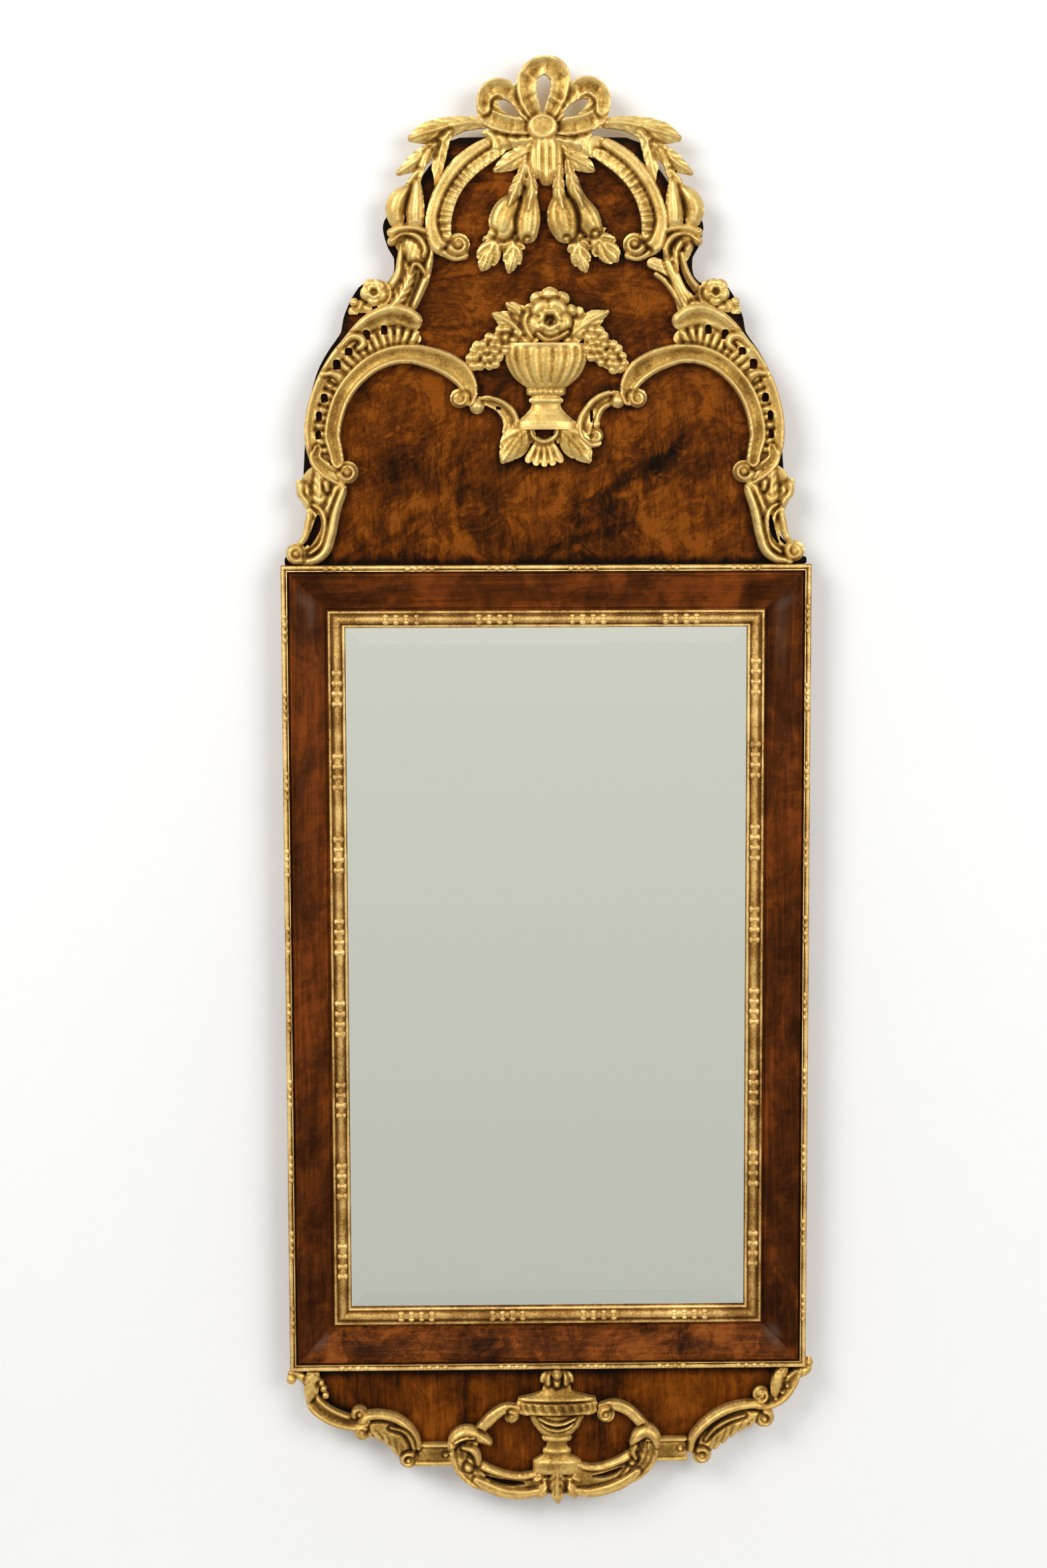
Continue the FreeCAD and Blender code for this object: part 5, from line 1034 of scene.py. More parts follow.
def make_urn():
    """The gadrooned urn on its ringed neck and plain foot."""
    urn = Relief(-46, 46, 134, 230)
    profile = (
        (136.5, 30.5), (144.5, 30.5), (145.5, 28.5), (151, 22), (158, 15.5), (163, 14.5), (164, 17),
        (167.5, 17), (168.5, 14.5), (170.5, 15), (171.5, 19.5), (176, 20), (178.5, 19.5), (181, 23),
        (185, 28.5), (190, 33.5), (197, 38), (205, 41), (212, 41.8), (218, 41), (223, 38))
    urn.vase(0, profile, 17.2, gadroons=(180.5, 220, 9.5, 3.2),
             rings=((165.5, 1.0), (173.5, 1.4), (221, 1.0)))
    for k in range(7):
        urn.ball(-16.5 + 5.5 * k, 174, 2.7, 14.5 - abs(k - 3) * 1.2, 7, undercut=0.2)
    carved(urn, "crest_urn")


def make_urn_flowers():
    """The open rose in the urn, with a bloom behind it, buds, leaves and two bunches of grapes."""
    flowers = Relief(-90, 90, 188, 282)
    flowers.leaf([(-18, 230, 8), (-29, 238, 13), (-40, 246, 9), (-53, 252, 2)], 9.5, 3.5, cut=0.32)
    flowers.leaf([(-18, 240, 7), (-25, 251, 9), (-32, 258, 6), (-39, 262, 2)], 8.5, 3, cut=0.3)
    flowers.leaf([(24, 230, 9), (36, 239, 13), (48, 247, 9), (62, 254, 2)], 9.5, 3.5, cut=0.32)
    flowers.ball(33, 254, 5.5, 8)
    flowers.grapes([(-34, 236), (-48, 235), (-57, 230), (-68, 224), (-79, 211), (-80, 203),
                    (-68, 200), (-52, 202), (-44, 211), (-36, 222)], 4.7, 14, 3)
    flowers.grapes([(38, 232), (50, 236), (62, 228), (72, 220), (77, 207), (84, 200),
                    (76, 194), (62, 197), (50, 204), (40, 213)], 4.7, 14, 8)
    for x, z, radius in ((-40, 228, 5.5), (-33, 226, 4.5), (-20, 226, 5), (22, 226, 4.5),
                         (12, 229, 4), (-11, 228, 4.5)):
        flowers.ball(x, z, radius, 10)
    for x, z, radius in ((-15, 256, 8), (24, 255, 8), (-7, 267, 9), (15, 267, 9), (4, 271, 9.5)):
        flowers.ball(x, z, radius, 11.5, 4, squash=0.85)
    flowers.fruit([(-17, 254, 4), (-19, 246, 6.6), (-17, 236, 6), (-14, 228, 3)], 13, 2)
    flowers.rose(4, 246, 23, 16, 5, 0.25)
    flowers.rod([(-8, 232, 2.4), (1, 226, 2.8), (12, 228, 2.6), (22, 234, 2.4)], 13.5)
    for x in (2.0, 8.0):
        flowers.ball(x, 244.5, 2.0, 10.5, 4, undercut=0.2)
    carved(flowers, "urn_flowers")


def make_bracket(side):
    """The small scroll between the arch and the urn's foot."""
    if side == "left":
        bracket = Relief(-84, -24, 128, 178)
        bracket.band([(-66, 166, 3.5), (-56, 164, 5), (-46, 159, 6), (-38, 150, 7.4),
                      (-36, 141, 7.4), (-39, 134, 5.5)], HOLLOWED, 9.5)
        bracket.rod([(-68, 167.5, 2), (-56, 168, 2.2), (-44, 163.5, 2.6), (-35, 156, 3),
                     (-30.5, 147, 3), (-31, 140, 3)], 12)
        bracket.pierce(bracket.outline([(-50, 160.5), (-45, 158.5), (-47, 156), (-51, 157.5)]))
        bracket.ball(-70, 159.5, 7.4, 12.5)
    else:
        bracket = Relief(24, 86, 116, 182)
        bracket.band([(68, 169, 4), (57, 166, 5.5), (47, 158, 6.4), (41, 147, 6.8), (40, 135, 6.5)],
                     HOLLOWED, 9.5)
        bracket.rod([(66, 163, 2.4), (57, 158, 3), (52, 149, 3.2), (51, 139, 3)], 11)
        bracket.rod([(72, 173, 2.2), (60, 172, 2.6), (49, 166, 3), (39.5, 155, 3.2), (34, 142, 3.4),
                     (36, 129, 3.6), (44, 122.5, 4), (52, 123, 4)], 12)
        bracket.pierce(bracket.outline([(44.5, 155), (47.5, 156), (47, 145), (44.5, 144)], 2))
        bracket.volute(50.5, 130.5, 8.4, -120, 1, 13, 1.0)
        bracket.ball(72.5, 165, 7.2, 12.5)
    carved(bracket, f"bracket_scroll_{side}")


def make_palmette():
    """A shell under the urn, between two leaves, with a dark half round opening over it."""
    palmette = Relief(-54, 52, 94, 142)
    for leaf in ([(-16, 139, 7), (-25, 131, 14), (-33, 121, 14), (-44, 105, 3)],
                 [(12, 139, 7), (23, 130, 14), (32, 120, 14), (43, 105, 3)]):
        palmette.leaf(leaf, 10.5, 3.5, lean=1.4, cut=0.24, rib=1.0)
    palmette.fan(-2, 140, 11, 41, -122, -58, 5, 13.5)
    palmette.rod([(-16, 139, 2), (-13, 129, 2.4), (-2, 124, 2.6), (9, 129, 2.4), (12, 139, 2)], 10)
    palmette.pierce(palmette.outline([(-13, 144), (-11, 133), (-2, 126.5), (7, 133), (9, 144)]))
    carved(palmette, "palmette")


for side in ("left", "right"):
    make_arch(side)
    make_foot(side)
    make_acanthus(side)
    make_upper_scroll(side)
    make_spray(side)
    make_fruit_drop(side)
    make_bracket(side)
make_bow()
make_centre_leaf()
make_urn_flowers()
make_urn()
make_palmette()


# Apron

def make_corner(side):
    """The thin scroll under a corner of the frame, with an upright leaf and a curled end."""
    corner = Relief(*((-282, -182, -76, -0.4) if side == "left" else (208, 282, -76, 11)))
    if side == "left":
        corner.rod([(-270, -4.5, 3), (-264, -4.5, 3.6), (-257, -9, 4), (-251, -17, 4),
                    (-248, -28, 4.5)], 9)
        corner.band([(-250, -24, 5.5), (-244, -37, 8), (-232, -47, 8.4), (-217, -54, 8),
                     (-203, -57, 7.5), (-194, -54, 7)], HOLLOWED, 12.5)
        corner.leaf([(-246, -1, 5), (-247, -9, 8.5), (-248, -20, 7.5), (-251, -33, 2.5)], 14, 4,
                    cut=0.24)
        for x, z in ((-238.5, -14), (-235.5, -20.5), (-233.5, -27.5)):
            corner.ball(x, z, 3.4, 10)
        corner.ball(-269, -10, 4.9, 10)
        corner.volute(-198, -47.5, 9.5, 200, -1, 13.5, 1.1, 0.38)
    else:
        corner.rod([(274, 3, 3.4), (271.5, -3.5, 4.4), (266, -7, 4.8), (259, -10, 5)], 11)
        corner.band([(261, -8, 4.5), (253, -19, 8), (245, -30, 8), (236, -37, 7), (227, -40, 6)],
                    HOLLOWED, 12)
        corner.leaf([(248, -2, 4), (243, -10, 6), (240, -20, 6.5), (238, -30, 4)], 13, 5, cut=0.24)
        for x, z in ((251, -21), (246, -28), (239, -35)):
            corner.ball(x, z, 2.4, 12, 6, undercut=0.2)
        corner.ball(273.7, 4.4, 4.4, 12)
        corner.volute(224, -31, 9.8, 250, 1, 13.5, 1.1, 0.38)
        corner.edge[(corner.z > -0.5) & (corner.x < 270.4)] = -1
    carved(corner, f"apron_corner_{side}", below=True)


def make_strap(relief, low_x, high_x, high_z, low_z, nail_x, nail_z):
    """A flat strap with a raised line along its top, held by a nail."""
    plate = relief.outline([(low_x, high_z), (high_x, high_z), (high_x, low_z), (low_x, low_z)], 1)
    relief.lay(plate, 6.5 + 1.2 * np.clip(plate.edge / 1.5, 0, 1), over=False)
    for z, half, rise in ((high_z - 2.4, 1.7, 10.5), (low_z + 2.2, 1.5, 9)):
        relief.rod([(low_x + 1, z, half), ((low_x + high_x) / 2, z, half), (high_x - 1, z, half)],
                   rise, 6)
    relief.ball(nail_x, nail_z, 2.9, 10.5, 7)


def make_chain(side):
    """The leafy scroll between the corner and the wreath, and its strap."""
    if side == "left":
        chain = Relief(-206, -98, -112, -38)
        make_strap(chain, -141, -99.5, -80, -104, -108, -92.5)
        chain.leaf([(-196, -60, 6), (-181, -62, 12), (-166, -67, 14), (-153, -79, 14),
                    (-147, -93, 9)], 12, 5.5, lean=1.3, cut=0.42, sides=(0.1, 1.5), rib=0.4)
        chain.rod([(-197, -62, 5), (-191, -51, 5.4), (-176, -49, 5), (-160, -53, 5), (-148, -62, 5),
                   (-140, -73, 4.6), (-137.5, -84, 4)], 14)
        chain.rod([(-166, -62, 2), (-152, -66, 3), (-144, -76, 3.4), (-141, -88, 2.4)], 12)
        chain.volute(-195.5, -67.5, 9.5, 60, 1, 13.5, 1.0)
        chain.volute(-147, -97, 10.8, 60, 1, 14.5, 1.15, 0.36)
    else:
        chain = Relief(98, 242, -110, -36)
        make_strap(chain, 103, 146, -76, -101.5, 139, -88)
        chain.leaf([(220, -51, 7), (205, -55, 12), (190, -61, 14), (176, -71, 14), (164, -85, 10),
                    (160, -94, 6)], 12, 7, lean=1.3, cut=0.42, sides=(1.5, 0.1), rib=0.4)
        chain.rod([(230, -47, 4.6), (219, -41, 5), (204, -42, 5), (189, -46, 5.2), (174, -54, 5.2),
                   (161, -65, 5), (152, -77, 4.6), (150, -88, 4)], 14)
        chain.rod([(206, -52, 2.4), (190, -57, 3), (175, -66, 3.4), (165, -78, 2.4)], 12)
        chain.volute(227, -55.5, 11.8, 80, -1, 14.5, 1.15, 0.36)
        chain.volute(161.5, -95, 11, 120, -1, 14.5, 1.15, 0.36)
    carved(chain, f"apron_chain_{side}", below=True)


def make_oval(side):
    """One half of the leafy wreath round the urn, with its handle and its two lower ribs."""
    if side == "left":
        oval = Relief(-114, 4, -145, -36)
        oval.band([(-72, -110, 5), (-52, -121, 7), (-30, -126, 8), (-8, -124, 8)], FLAT, 7)
        oval.band([(-88, -78, 14), (-91, -90, 13), (-88, -103, 12.5), (-79, -115, 11),
                   (-68, -124, 8)], REEDED, 11, 3.5, pitch=24, depth=2.0)
        oval.ball(-84, -106, 6, 13)
        oval.band([(-76, -120, 4), (-62, -128, 5.6), (-46, -133.5, 5.4), (-27, -135.5, 5.2),
                   (-8, -132.5, 4)], SHALLOW, 12, pitch=27, depth=1.0)
        oval.rod([(-83, -98, 3), (-72, -104, 4.4), (-60, -110, 4), (-46, -115, 3.6),
                  (-30, -117.5, 3.6), (-14, -115, 3.4)], 12, pitch=21, depth=0.9)
        oval.rod([(-90, -84, 3), (-80, -87, 4.4), (-75, -94, 4.4), (-74, -102, 3)], 13)
        oval.band([(-33, -43, 4), (-45, -43, 5), (-57, -50, 5.4), (-67, -60, 5.4), (-75, -69, 4.6)],
                  SHALLOW, 13, pitch=25, depth=0.9)
        oval.rod([(-102, -84, 4), (-98, -75.5, 7), (-89, -70, 8.4), (-79, -70, 7.4), (-70, -74, 6),
                  (-62, -79, 3.4)], 14)
        oval.rod([(-99, -79, 1.2), (-89, -74, 1.6), (-78, -74, 1.2)], 15, 12)
        oval.volute(-38.5, -51.5, 8.6, 100, -1, 14, 1.1, 0.4)
        oval.pierce(oval.follow([
            (-66, -117, 1.6), (-52, -122, 3), (-38, -124.5, 3.2), (-26, -124.5, 1.6)]))
    else:
        oval = Relief(24, 120, -144, -34)
        oval.band([(86, -104, 5), (66, -115, 8), (46, -120, 9), (30, -119, 9)], FLAT, 7)
        oval.band([(106, -76, 11), (105, -88, 11.5), (101, -100, 11), (92, -111, 10),
                   (82, -121, 7)], REEDED, 11, 3.5, pitch=24, depth=2.0)
        oval.ball(88, -101, 5.4, 13)
        oval.band([(94, -112, 4), (80, -123, 5.4), (62, -130.5, 5.4), (44, -134, 5),
                   (27, -133, 3.6)], SHALLOW, 12, pitch=27, depth=1.0)
        oval.rod([(93, -88, 3), (84, -96, 4.6), (72, -102, 4), (58, -107, 3.8), (44, -108.5, 3.6),
                  (32, -105, 3)], 12, pitch=21, depth=0.9)
        oval.band([(56, -42, 4), (69, -40, 5), (82, -44.5, 5.4), (94, -55, 5.4), (104, -67, 5.2),
                   (112, -76, 4)], SHALLOW, 13, pitch=25, depth=0.9)
        oval.rod([(114, -84, 4), (111, -74.5, 7), (103, -69, 8.2), (95, -73, 6.6), (89, -81, 4)],
                 14)
        oval.rod([(92, -84, 2.6), (89, -91, 3.4), (92, -98, 2.6)], 12)
        oval.volute(60.5, -50, 10.4, 80, 1, 14, 1.1, 0.38)
        oval.pierce(oval.follow([
            (47, -117.5, 1.4), (58, -116.5, 2.8), (69, -113, 2.8), (77, -108.5, 1.2)]))
    carved(oval, f"apron_oval_{side}", below=True)


def make_apron_urn():
    """The lidded urn: a leafy cap, a reeded rim, a plain bowl with a swag and a stepped foot."""
    urn, axis = Relief(-38, 56, -116, -0.4), 9
    body = ((-112.5, 25.5), (-100.5, 25.5), (-99.5, 24), (-97, 20), (-93.5, 14.5), (-91.5, 14),
            (-90, 15), (-87.5, 14.6), (-86, 11.5), (-82, 10.4), (-78.5, 11.5), (-77.5, 15.2),
            (-74, 15.8), (-72.5, 13.8), (-70, 17.5), (-62, 24), (-54, 28), (-47.5, 30))
    urn.vase(axis, body, 15.5, rings=((-89, 1.6), (-76, 1.2), (-100, 0.8)))
    for low, half, rise in ((0.0, 1.5, 17), (-6.5, 1.3, 16)):
        urn.rod([(axis - 19 - low * 0.4, -52.5 + low, half), (axis - 10, -57 + low, half + 0.5),
                 (axis, -59 + low, half + 0.7), (axis + 10, -57 + low, half + 0.5),
                 (axis + 19 + low * 0.4, -52.5 + low, half)], rise, rise - 3)
    urn.vase(axis, ((-49, 38), (-47.5, 41.5), (-37, 42.5), (-35, 40)), 16.8,
             rings=((-47.5, 1.0), (-36.8, 1.0)), base=3)
    rim = urn.outline([
        (axis - 40, -37), (axis + 40, -37), (axis + 40, -47.5), (axis - 40, -47.5)], 1)
    turn = np.arcsin(np.clip((urn.x[rim.window] - axis) / 43, -1, 1))
    slant = (urn.z[rim.window] + 42) * 0.05
    urn.height[rim.window] -= np.where(rim.edge > 0, 2.6 * np.sin(turn * 13 + slant * 2) ** 2, 0)
    cap = ((-35, 41.5), (-32, 40.5), (-30, 31), (-27.5, 21), (-24.5, 15.5), (-17, 13.5))
    urn.vase(axis, cap, 15, rings=((-33, 1.2), (-26, 0.8)), base=3)
    for end_x, end_z, half, rise in ((-14, -12.5, 4.8, 11), (14, -12.5, 4.8, 11),
                                     (-9, -16, 5.2, 13), (9, -16, 5.2, 13), (0, -17, 5.6, 15)):
        urn.fruit([(axis + end_x * 0.25, -5.5, 3.4), (axis + end_x * 0.8, -9, half),
                   (axis + end_x, end_z, half * 0.8)], rise, 1)
    urn.ball(axis, -6.2, 5.7, 17.2, 5)
    carved(urn, "apron_urn", below=True)


def make_apron_drop():
    """The leaves that hang under the urn: a fluted one between curls and spread lobes."""
    drop = Relief(-32, 44, -146, -106)
    for way, x in ((-1, 8), (1, 10)):
        drop.leaf([(x - 6 * way, -111, 7), (x + 4 * way, -114, 8.5), (x + 13 * way, -117, 7),
                   (x + 22 * way, -119.5, 2.5)], 14, 4, lean=1.5, cut=0.34, sharp=0.6)
        drop.leaf([(x + 1 * way, -112, 6), (x + 7 * way, -121, 8), (x + 12 * way, -129, 7.5),
                   (x + 18 * way, -137, 2.5)], 15, 4, lean=1.5, cut=0.34, sharp=0.6)
    drop.leaf([(9, -107, 8), (9, -120, 10.5), (9, -132, 8.5), (9.5, -142.5, 2.5)], 15.5, 5,
              lean=1.5, cut=0.3, rib=2.0, sharp=0.5)
    drop.volute(-2, -112.5, 5.4, 60, 1, 15.5, 1.0)
    drop.volute(20, -112.5, 5.6, 120, -1, 15.5, 1.0)
    carved(drop, "apron_drop", below=True)


for side in ("left", "right"):
    make_oval(side)
    make_chain(side)
    make_corner(side)
make_apron_urn()
make_apron_drop()


# Veneer sheets

# In millimetres: their grid, and their outlines' left halves from the frame's edge outwards
SHEET_PITCH = 2.0
CREST_SHAPE = [
    (-266, 0), (-266, 8), (-256, 16), (-242, 30), (-237, 46), (-240, 66), (-246, 86), (-245.5, 105),
    (-244.5, 122), (-243, 140), (-240.5, 160), (-236, 180), (-229, 200), (-218.5, 218), (-207, 234),
    (-204.5, 248), (-199, 262), (-193, 273), (-184, 283), (-170, 280), (-160, 284), (-154.5, 290),
    (-152.5, 298), (-153, 309), (-159, 319), (-163, 332), (-163.5, 342), (-158, 352), (-144, 366),
    (-130, 381), (-117, 399), (-102, 413), (-86, 427.5)]
APRON_SHAPE = [
    (-261, 0), (-250, -12), (-242, -28), (-230, -42), (-214, -51), (-197, -57), (-180, -61),
    (-166, -68), (-155, -80), (-146, -92), (-132, -97), (-106, -97), (-97, -110), (-78, -122),
    (-52, -131), (-22, -135)]


def make_sheet(name, left, draw_in, material, low_z, high_z):
    """A sheet of veneer with its darkened rim, and painted shade, with some dirt, round the
    carving.

    left is the left half of its outline. The right one is drawn in by draw_in.
    """
    node = name + "_veneer"
    back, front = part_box(node)[1].y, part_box(node)[0].y
    sheet = Relief(-270, 268, low_z, high_z, SHEET_PITCH)
    right = [(-x - draw_in, z) for x, z in left]
    form = sheet.outline(left + right[::-1], 2)
    sheet.lay(form, (back - front) / MM)
    cover = np.zeros(sheet.x.shape)
    for places in COVERED[name]:
        i, j = (
            np.clip(((place - first) / sheet.pitch).round().astype(int), 0, count - 1)
            for place, first, count in zip(places, (sheet.x[0, 0], sheet.z[0, 0]), cover.shape))
        cover[i, j] = 1
    # The shade: painted shade, with some dirt, round the carving; at the rim painted shade with
    # dark stain; and darker towards the joint with the frame.
    near = np.clip(blurred(cover, 2) * 1.1, 0, 1)
    rim = np.exp(-np.square(np.maximum(sheet.edge, 0) / 7.5))
    joint = np.exp(-np.abs(sheet.z) / 5)
    shade = np.clip(near * 0.75 + rim * 1.1 + joint * 0.2, 0, 1.25)
    datum = FRAME_FOOT if name == "apron" else FRAME_TOP
    mesh = sheet.mesh("sheet_" + node, datum, back, shade)
    own(placed("sheet_" + node, mesh), material, "veneer", node)


make_sheet("crest", CREST_SHAPE, 4.5, CREST_WOOD, -1.0, 434)
make_sheet("apron", APRON_SHAPE, 0.0, APRON_WOOD, -140, 1.0)


# Frame mouldings

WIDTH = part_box("outer_bead_right")[1].x
FRAME_SIDES = {
    "top": ((-1, FRAME_TOP), (1, FRAME_TOP)), "bottom": ((1, FRAME_FOOT), (-1, FRAME_FOOT)),
    "left": ((-1, FRAME_FOOT), (-1, FRAME_TOP)), "right": ((1, FRAME_TOP), (1, FRAME_FOOT))}


def on_frame(across, z, inward, forward):
    """A corner of the frame, moved inwards and forwards by distances in mm."""
    to_middle = inward * MM * (1 if z < (FRAME_TOP + FRAME_FOOT) / 2 else -1)
    return Vector((across * (WIDTH - inward * MM), -forward * MM, z + to_middle))


def mitred(name, side, profile, shade=()):
    """A length of moulding, cut at 45 degrees at both ends. The profile is (inward, forward) in mm.

    shade says how deep in a hollow the profile is at some distances inward: the gilding paints
    shade, with grime, where it is high and a highlight where it is below zero.
    """
    count = len(profile)
    points = [on_frame(*corner, *place) for corner in FRAME_SIDES[side] for place in profile]
    mesh = bpy.data.meshes.new(name)
    faces = [(k, (k + 1) % count, count + (k + 1) % count, count + k) for k in range(count)]
    faces += [tuple(range(count))[::-1], tuple(range(count, 2 * count))]
    mesh.from_pydata(points, [], faces)
    mesh.update()
    smoothed(mesh, SHARP_MOULDING)
    if shade:
        add_depths(mesh, "hollow", np.tile(
            np.interp([inward for inward, _ in profile], *zip(*shade)), 2))
    return placed(name, mesh)


def bead_tree():
    """The node tree that adds groups of beads to a moulding, and its sockets' identifiers."""
    tree = bpy.data.node_groups.new("groups of beads", "GeometryNodeTree")
    kinds = {"Moulding": "Geometry", "Start": "Vector", "Step": "Vector", "Places": "Int",
             "Period": "Int", "Together": "Int", "Size": "Vector", "Turn": "Vector",
             "Gilding": "Material"}
    identifiers = {
        title: tree.interface.new_socket(title, in_out="INPUT",
                                         socket_type="NodeSocket" + kind).identifier
        for title, kind in kinds.items()}
    tree.interface.new_socket("Beaded", in_out="OUTPUT", socket_type="NodeSocketGeometry")

    def add(kind, settings=None, **values):
        node = tree.nodes.new(kind)
        for title, value in (settings or {}).items():
            setattr(node, title, value)
        for title, value in values.items():
            socket = node.inputs[int(title[1:]) if title[1:].isdigit() else
                                 title.replace("_", " ")]
            if isinstance(value, bpy.types.NodeSocket):
                tree.links.new(value, socket)
            else:
                socket.default_value = value
        return node

    given = add("NodeGroupInput").outputs
    line = add("GeometryNodeMeshLine", {"mode": "OFFSET"}, Count=given["Places"],
               Start_Location=given["Start"], Offset=given["Step"])
    place = add("ShaderNodeMath", {"operation": "MODULO"},
                _0=add("GeometryNodeInputIndex").outputs[0], _1=given["Period"])
    empty = add("FunctionNodeCompare", {"data_type": "INT", "operation": "GREATER_EQUAL"},
                _2=place.outputs[0], _3=given["Together"])
    kept = add("GeometryNodeDeleteGeometry", {"domain": "POINT"}, Geometry=line.outputs[0],
               Selection=empty.outputs[0])
    bead = add("GeometryNodeMeshUVSphere", Segments=8, Rings=6, Radius=0.5)
    swell = add("FunctionNodeRandomValue", {"data_type": "FLOAT"}, _2=0.88, _3=1.1, Seed=7)
    size = add("ShaderNodeVectorMath", {"operation": "SCALE"}, _0=given["Size"],
               Scale=swell.outputs[1])
    turn = add("FunctionNodeEulerToRotation", Euler=given["Turn"])
    set_out = add("GeometryNodeInstanceOnPoints", Points=kept.outputs[0],
                  Instance=bead.outputs[0], Rotation=turn.outputs[0], Scale=size.outputs[0])
    beads = add("GeometryNodeSetShadeSmooth",
                Geometry=add("GeometryNodeRealizeInstances",
                             Geometry=set_out.outputs[0]).outputs[0])
    both = add("GeometryNodeJoinGeometry")
    tree.links.new(beads.outputs[0], both.inputs[0])
    tree.links.new(given["Moulding"], both.inputs[0])
    gilded = add("GeometryNodeSetMaterial", Geometry=both.outputs[0], Material=given["Gilding"])
    tree.links.new(gilded.outputs[0], add("NodeGroupOutput").inputs[0])
    return tree, identifiers


def beaded(piece, side, inward, forward, pitch, period, size, lean=0):
    """Groups of beads along a moulding, at a distance inward from the frame's edge.

    The first few of every period of places, pitch apart, have a bead, and lean is the turn of
    each in degrees. The groups are centred on the moulding's length.
    """
    start, end = (on_frame(*corner, inward, forward) for corner in FRAME_SIDES[side])
    along = (end - start).normalized()
    room = (end - start).length - 2 * BEAD_INSET * MM
    groups = int(room / (period * pitch * MM))
    spare = room - (groups * period - (period - TOGETHER)) * pitch * MM
    first = start + along * (BEAD_INSET * MM + spare / 2)
    turn = math.atan2(along.z, along.x) + math.radians(lean)
    modifier = piece.modifiers.new("groups of beads", "NODES")
    modifier.node_group = BEAD_TREE
    for title, value in {
            "Start": first, "Step": along * pitch * MM, "Places": groups * period,
            "Period": period, "Together": TOGETHER,
            "Size": Vector(size) * MM, "Turn": (0.0, -turn, 0.0),
            "Gilding": BEAD_GOLD}.items():
        modifier[BEAD_SOCKETS[title]] = value
    solid = bpy.data.meshes.new_from_object(
        piece.evaluated_get(bpy.context.evaluated_depsgraph_get()))
    piece.modifiers.remove(modifier)
    piece.data = solid


# The millimetres at each end of a moulding that stay bare, and the beads in a group
BEAD_INSET = 12.0
TOGETHER = 4
BEAD_TREE, BEAD_SOCKETS = bead_tree()


def arc(centre, radius, start, end, steps):
    """Points of a profile on a circle about (inward, forward), from one angle to another."""
    angles = [math.radians(start + (end - start) * k / steps) for k in range(steps + 1)]
    return [(centre[0] + radius * math.cos(angle), centre[1] + radius * math.sin(angle))
            for angle in angles]


# Profiles from the outside of the frame inwards and from the wall forwards, in millimetres.
CARCASS_FRONT = 16.0
OUTER_BEAD = [(0.0, CARCASS_FRONT), (0.0, 30.0), *arc((2.4, 30.6), 2.4, 180, 20, 8),
              (4.9, 30.0), (5.2, 30.0), (5.3, 31.4), (6.2, 31.6), (6.5, 31.0),
              (6.5, CARCASS_FRONT)]
MOULDING = [(6.5, CARCASS_FRONT), (6.5, 27.0), (8.2, 27.0), (8.5, 30.4),
            *arc((9.2, 30.4), 0.6, 180, 90, 3), (11.2, 31.0), (11.5, 30.2), (14.0, 29.9),
            (17.5, 28.9), (21.5, 26.9), (25.5, 24.5), (30.0, 22.4), (35.0, 20.8), (40.0, 20.1),
            (43.3, 20.0), (43.6, 18.5), (46.5, 18.5), (46.5, CARCASS_FRONT)]
SIGHT_EDGE = [(46.5, CARCASS_FRONT), (46.5, 21.4), (47.0, 22.0), (48.8, 22.0), (49.4, 21.0),
              (50.2, 19.8), *arc((55.4, 19.6), 4.5, 175, 5, 9), (60.2, 19.2),
              *arc((62.0, 18.2), 1.7, 165, -10, 6), (64.0, 17.3), (64.0, CARCASS_FRONT)]


def make_mouldings():
    """The mitred lengths of outer bead, veneered hollow and sight edge, with their pearls."""
    for side in FRAME_SIDES:
        upright = side in ("left", "right")
        # The shade tables of the bead and the sight edge paint shade, with grime, into their
        # hollows and a highlight onto their rounds.
        bead = mitred(f"smooth_outer_bead_{side}", side, OUTER_BEAD,
                      ((0, 1.5), (0.8, 0.3), (2.2, -1), (4.4, 1.5), (5, 4), (5.3, 0), (6.2, -0.8),
                       (6.5, 3)))
        beaded(bead, side, inward=3.3, forward=32.7, pitch=8.0 if upright else 8.3, period=10,
               size=(6.6, 5.0, 5.0), lean=0 if side == "left" else 20)
        own(bead, BEAD_GOLD, "gilding", f"outer_bead_{side}")
        moulding = mitred(f"smooth_moulding_{side}", side, MOULDING)
        own(moulding, SIDE_WOOD[side], "veneer", f"moulding_{side}")
        edge = mitred(f"smooth_sight_edge_{side}", side, SIGHT_EDGE,
                      ((46.5, 2), (47.1, 0.2), (48.6, 0.2), (49.6, 1.6), (50.6, 2.2), (52.4, 1.0),
                       (55.4, 0.3), (58.4, 1.0), (60.0, 2), (61.2, 0), (63, -0.8), (64, 2)))
        pitch, period = (10.7, 8) if upright else (10.6, 9)
        for row, forward, size in ((52.3, 23.2, (6.6, 5.4, 5.0)), (55.4, 23.5, (4.4, 4.6, 6.5)),
                                   (58.3, 23.2, (6.6, 5.4, 5.0))):
            beaded(edge, side, row, forward, pitch, period, size)
        own(edge, BEAD_GOLD, "gilding", f"sight_edge_{side}")


make_mouldings()


# Materials of the pieces whose own shape shows

OWN_FINISH = {"mirror_glass": GLASS, "hanger": IRON, "screws": IRON, "nails": IRON}


def finish_nodes():
    """Gives the nodes that show their own shape the finish that their names call for, or pine."""
    for name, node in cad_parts.items():
        if node.hide_render:
            continue
        finish = next((OWN_FINISH[word] for word in OWN_FINISH if word in name), PINE)
        node.data.materials.clear()
        node.data.materials.append(finish)


finish_nodes()


# Camera, stage and lights

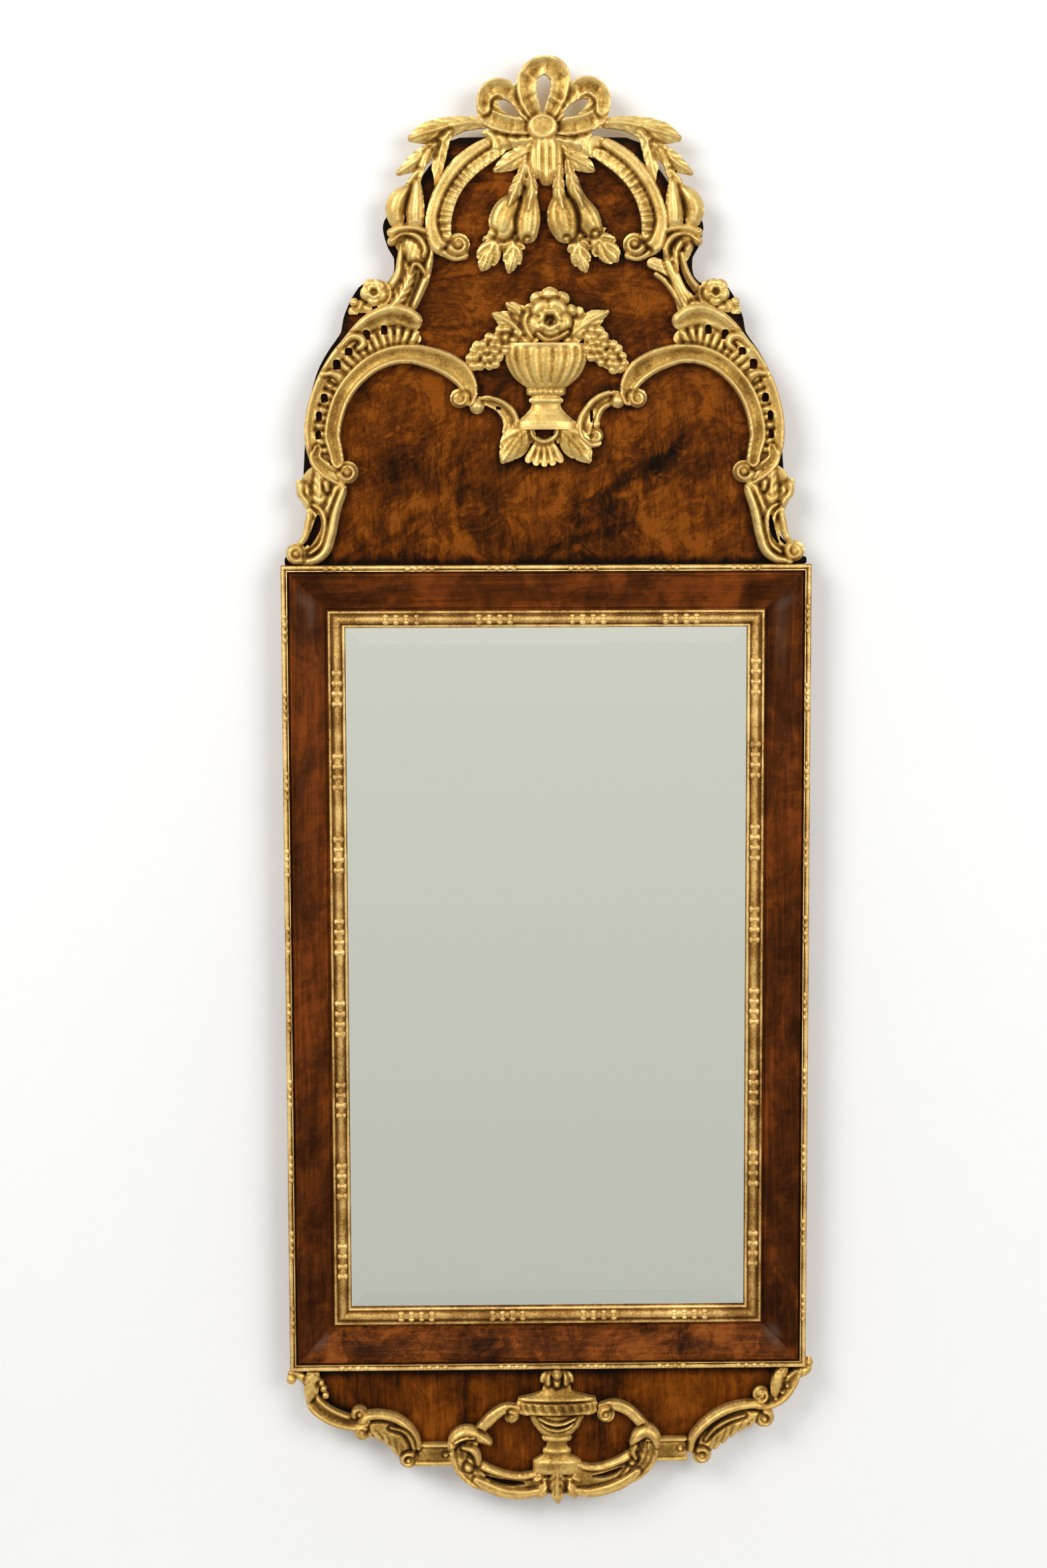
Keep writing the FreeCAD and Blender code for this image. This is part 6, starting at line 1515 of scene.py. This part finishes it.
def make_camera():
    """The photograph's viewpoint, found from the frame's four corners."""
    eye = Vector((-0.0745, -2.7526, -0.2825))
    yaw, pitch, roll = (math.radians(angle) for angle in (1.06, -5.69, -0.18))
    forward = Vector((math.sin(yaw) * math.cos(pitch), math.cos(yaw) * math.cos(pitch),
                      math.sin(pitch)))
    level = Vector((math.cos(yaw), -math.sin(yaw), 0))
    rise = level.cross(forward)
    right = level * math.cos(roll) + rise * math.sin(roll)
    up = rise * math.cos(roll) - level * math.sin(roll)
    data = bpy.data.cameras.new("camera")
    data.sensor_fit, data.sensor_width, data.sensor_height = "VERTICAL", 36.0, 36.0
    focal_pixels, image_height = 4000, 2349
    data.lens = focal_pixels / image_height * data.sensor_height
    camera = placed("camera", data)
    turn = Matrix((right, up, -forward)).transposed()
    camera.matrix_world = Matrix.Translation(eye) @ turn.to_4x4()
    bpy.context.scene.camera = camera


def sheet_of_stage(name, corners, material):
    """A flat sheet that is no part of the mirror."""
    mesh = bpy.data.meshes.new(name)
    mesh.from_pydata(corners, [], [(0, 1, 2, 3)])
    mesh.materials.append(material)
    piece = placed(name, mesh)


def wall_finish():
    """Pale paint, a little greyer round the mirror as a painted soft shadow. From behind it isn't
    there, so that the mirror's back can be seen.
    """
    wall = Finish("wall paint", Roughness=0.9)
    here = wall.place()
    tone = wall.mix(wall.noise(here, 3.0), srgb(243, 243, 242), srgb(246, 246, 245))
    # Greyer near the mirror: a painted soft shadow round it.
    near = wall.place((0.0, 0.0, -0.5), scale=(0.42, 1.0, 0.95), kind="TEXTURE")
    away = wall.distance(near).between(0.5, 1.5)
    wall.feed(Base_Color=wall.mix(away, srgb(240, 240, 238), tone))
    clear = wall.node("ShaderNodeBsdfTransparent")
    behind = (wall.node("ShaderNodeNewGeometry", output="Backfacing")
              + wall.node("ShaderNodeLightPath", output="Is Shadow Ray"))
    painted = Socket(wall, wall.surface.outputs[0])
    both = wall.node("ShaderNodeMixShader", None, {0: behind, 1: painted, 2: clear})
    wall.tree.links.new(both.link, wall.tree.nodes["Material Output"].inputs[0])
    return wall.material


def floor_finish():
    floor = Finish("pale floor", Roughness=0.7)
    tone = floor.mix(floor.noise(floor.place(), 4.0), srgb(226, 224, 220), srgb(232, 230, 227))
    return floor.feed(Base_Color=tone)


def make_stage():
    """A pale wall just behind the mirror and a pale floor below it."""
    wall_y, wall_top, floor_z, reach, front, rear = 0.0015, 1.4, -2.1, 2.6, -1.3, 2.0
    sheet_of_stage("wall", [(-reach, wall_y, floor_z), (reach, wall_y, floor_z),
                            (reach, wall_y, wall_top), (-reach, wall_y, wall_top)], wall_finish())
    sheet_of_stage("floor", [(-reach, front, floor_z), (reach, front, floor_z),
                             (reach, rear, floor_z), (-reach, rear, floor_z)], floor_finish())


def lamp(name, at, size, power):
    """A round soft lamp that looks at the middle of the mirror."""
    data = bpy.data.lights.new(name, "AREA")
    data.shape, data.size, data.energy = "DISK", size, power
    light = placed(name, data)
    light.location = at
    light.rotation_euler = (Vector(MIDDLE) - Vector(at)).to_track_quat("-Z", "Y").to_euler()


def make_world():
    """The room as polished things see it: pale ahead, a window high on the left, dark below."""
    world = bpy.data.worlds.new("studio")
    world.use_nodes = True
    bpy.context.scene.world = world
    room = Pattern(world.node_tree)
    where = room.node("ShaderNodeTexCoord", output="Generated")
    x, z = room.part(where, "X"), room.part(where, "Z")
    ahead = room.mix(z.between(-0.42, 0.10), srgb(196, 197, 191), srgb(226, 225, 217))
    dark = (x * 0.55 - z * 0.85).between(0.42, 0.95)
    window = (z * 0.7 - x * 0.7).between(0.35, 0.9)
    dim = room.mix(dark, ahead, srgb(44, 38, 32))
    seen = room.mix(window, dim, (1.25, 1.22, 1.15))
    direct = (room.node("ShaderNodeLightPath", output="Is Camera Ray")
              + room.node("ShaderNodeLightPath", output="Is Glossy Ray"))
    light = room.mix(direct, (0.38, 0.38, 0.39), seen)
    room.tree.links.new(light.link, room.tree.nodes["Background"].inputs["Color"])


MIDDLE = (0.0, 0.0, -0.66)
make_camera()
make_stage()
make_world()
lamp("window light", (-1.9, -2.3, 1.2), 1.8, 68)
lamp("room light", (1.9, -2.6, 0.5), 2.0, 52)
lamp("light from behind", (0.6, 2.4, 0.6), 1.6, 40)
bpy.context.scene.view_settings.view_transform = "Standard"
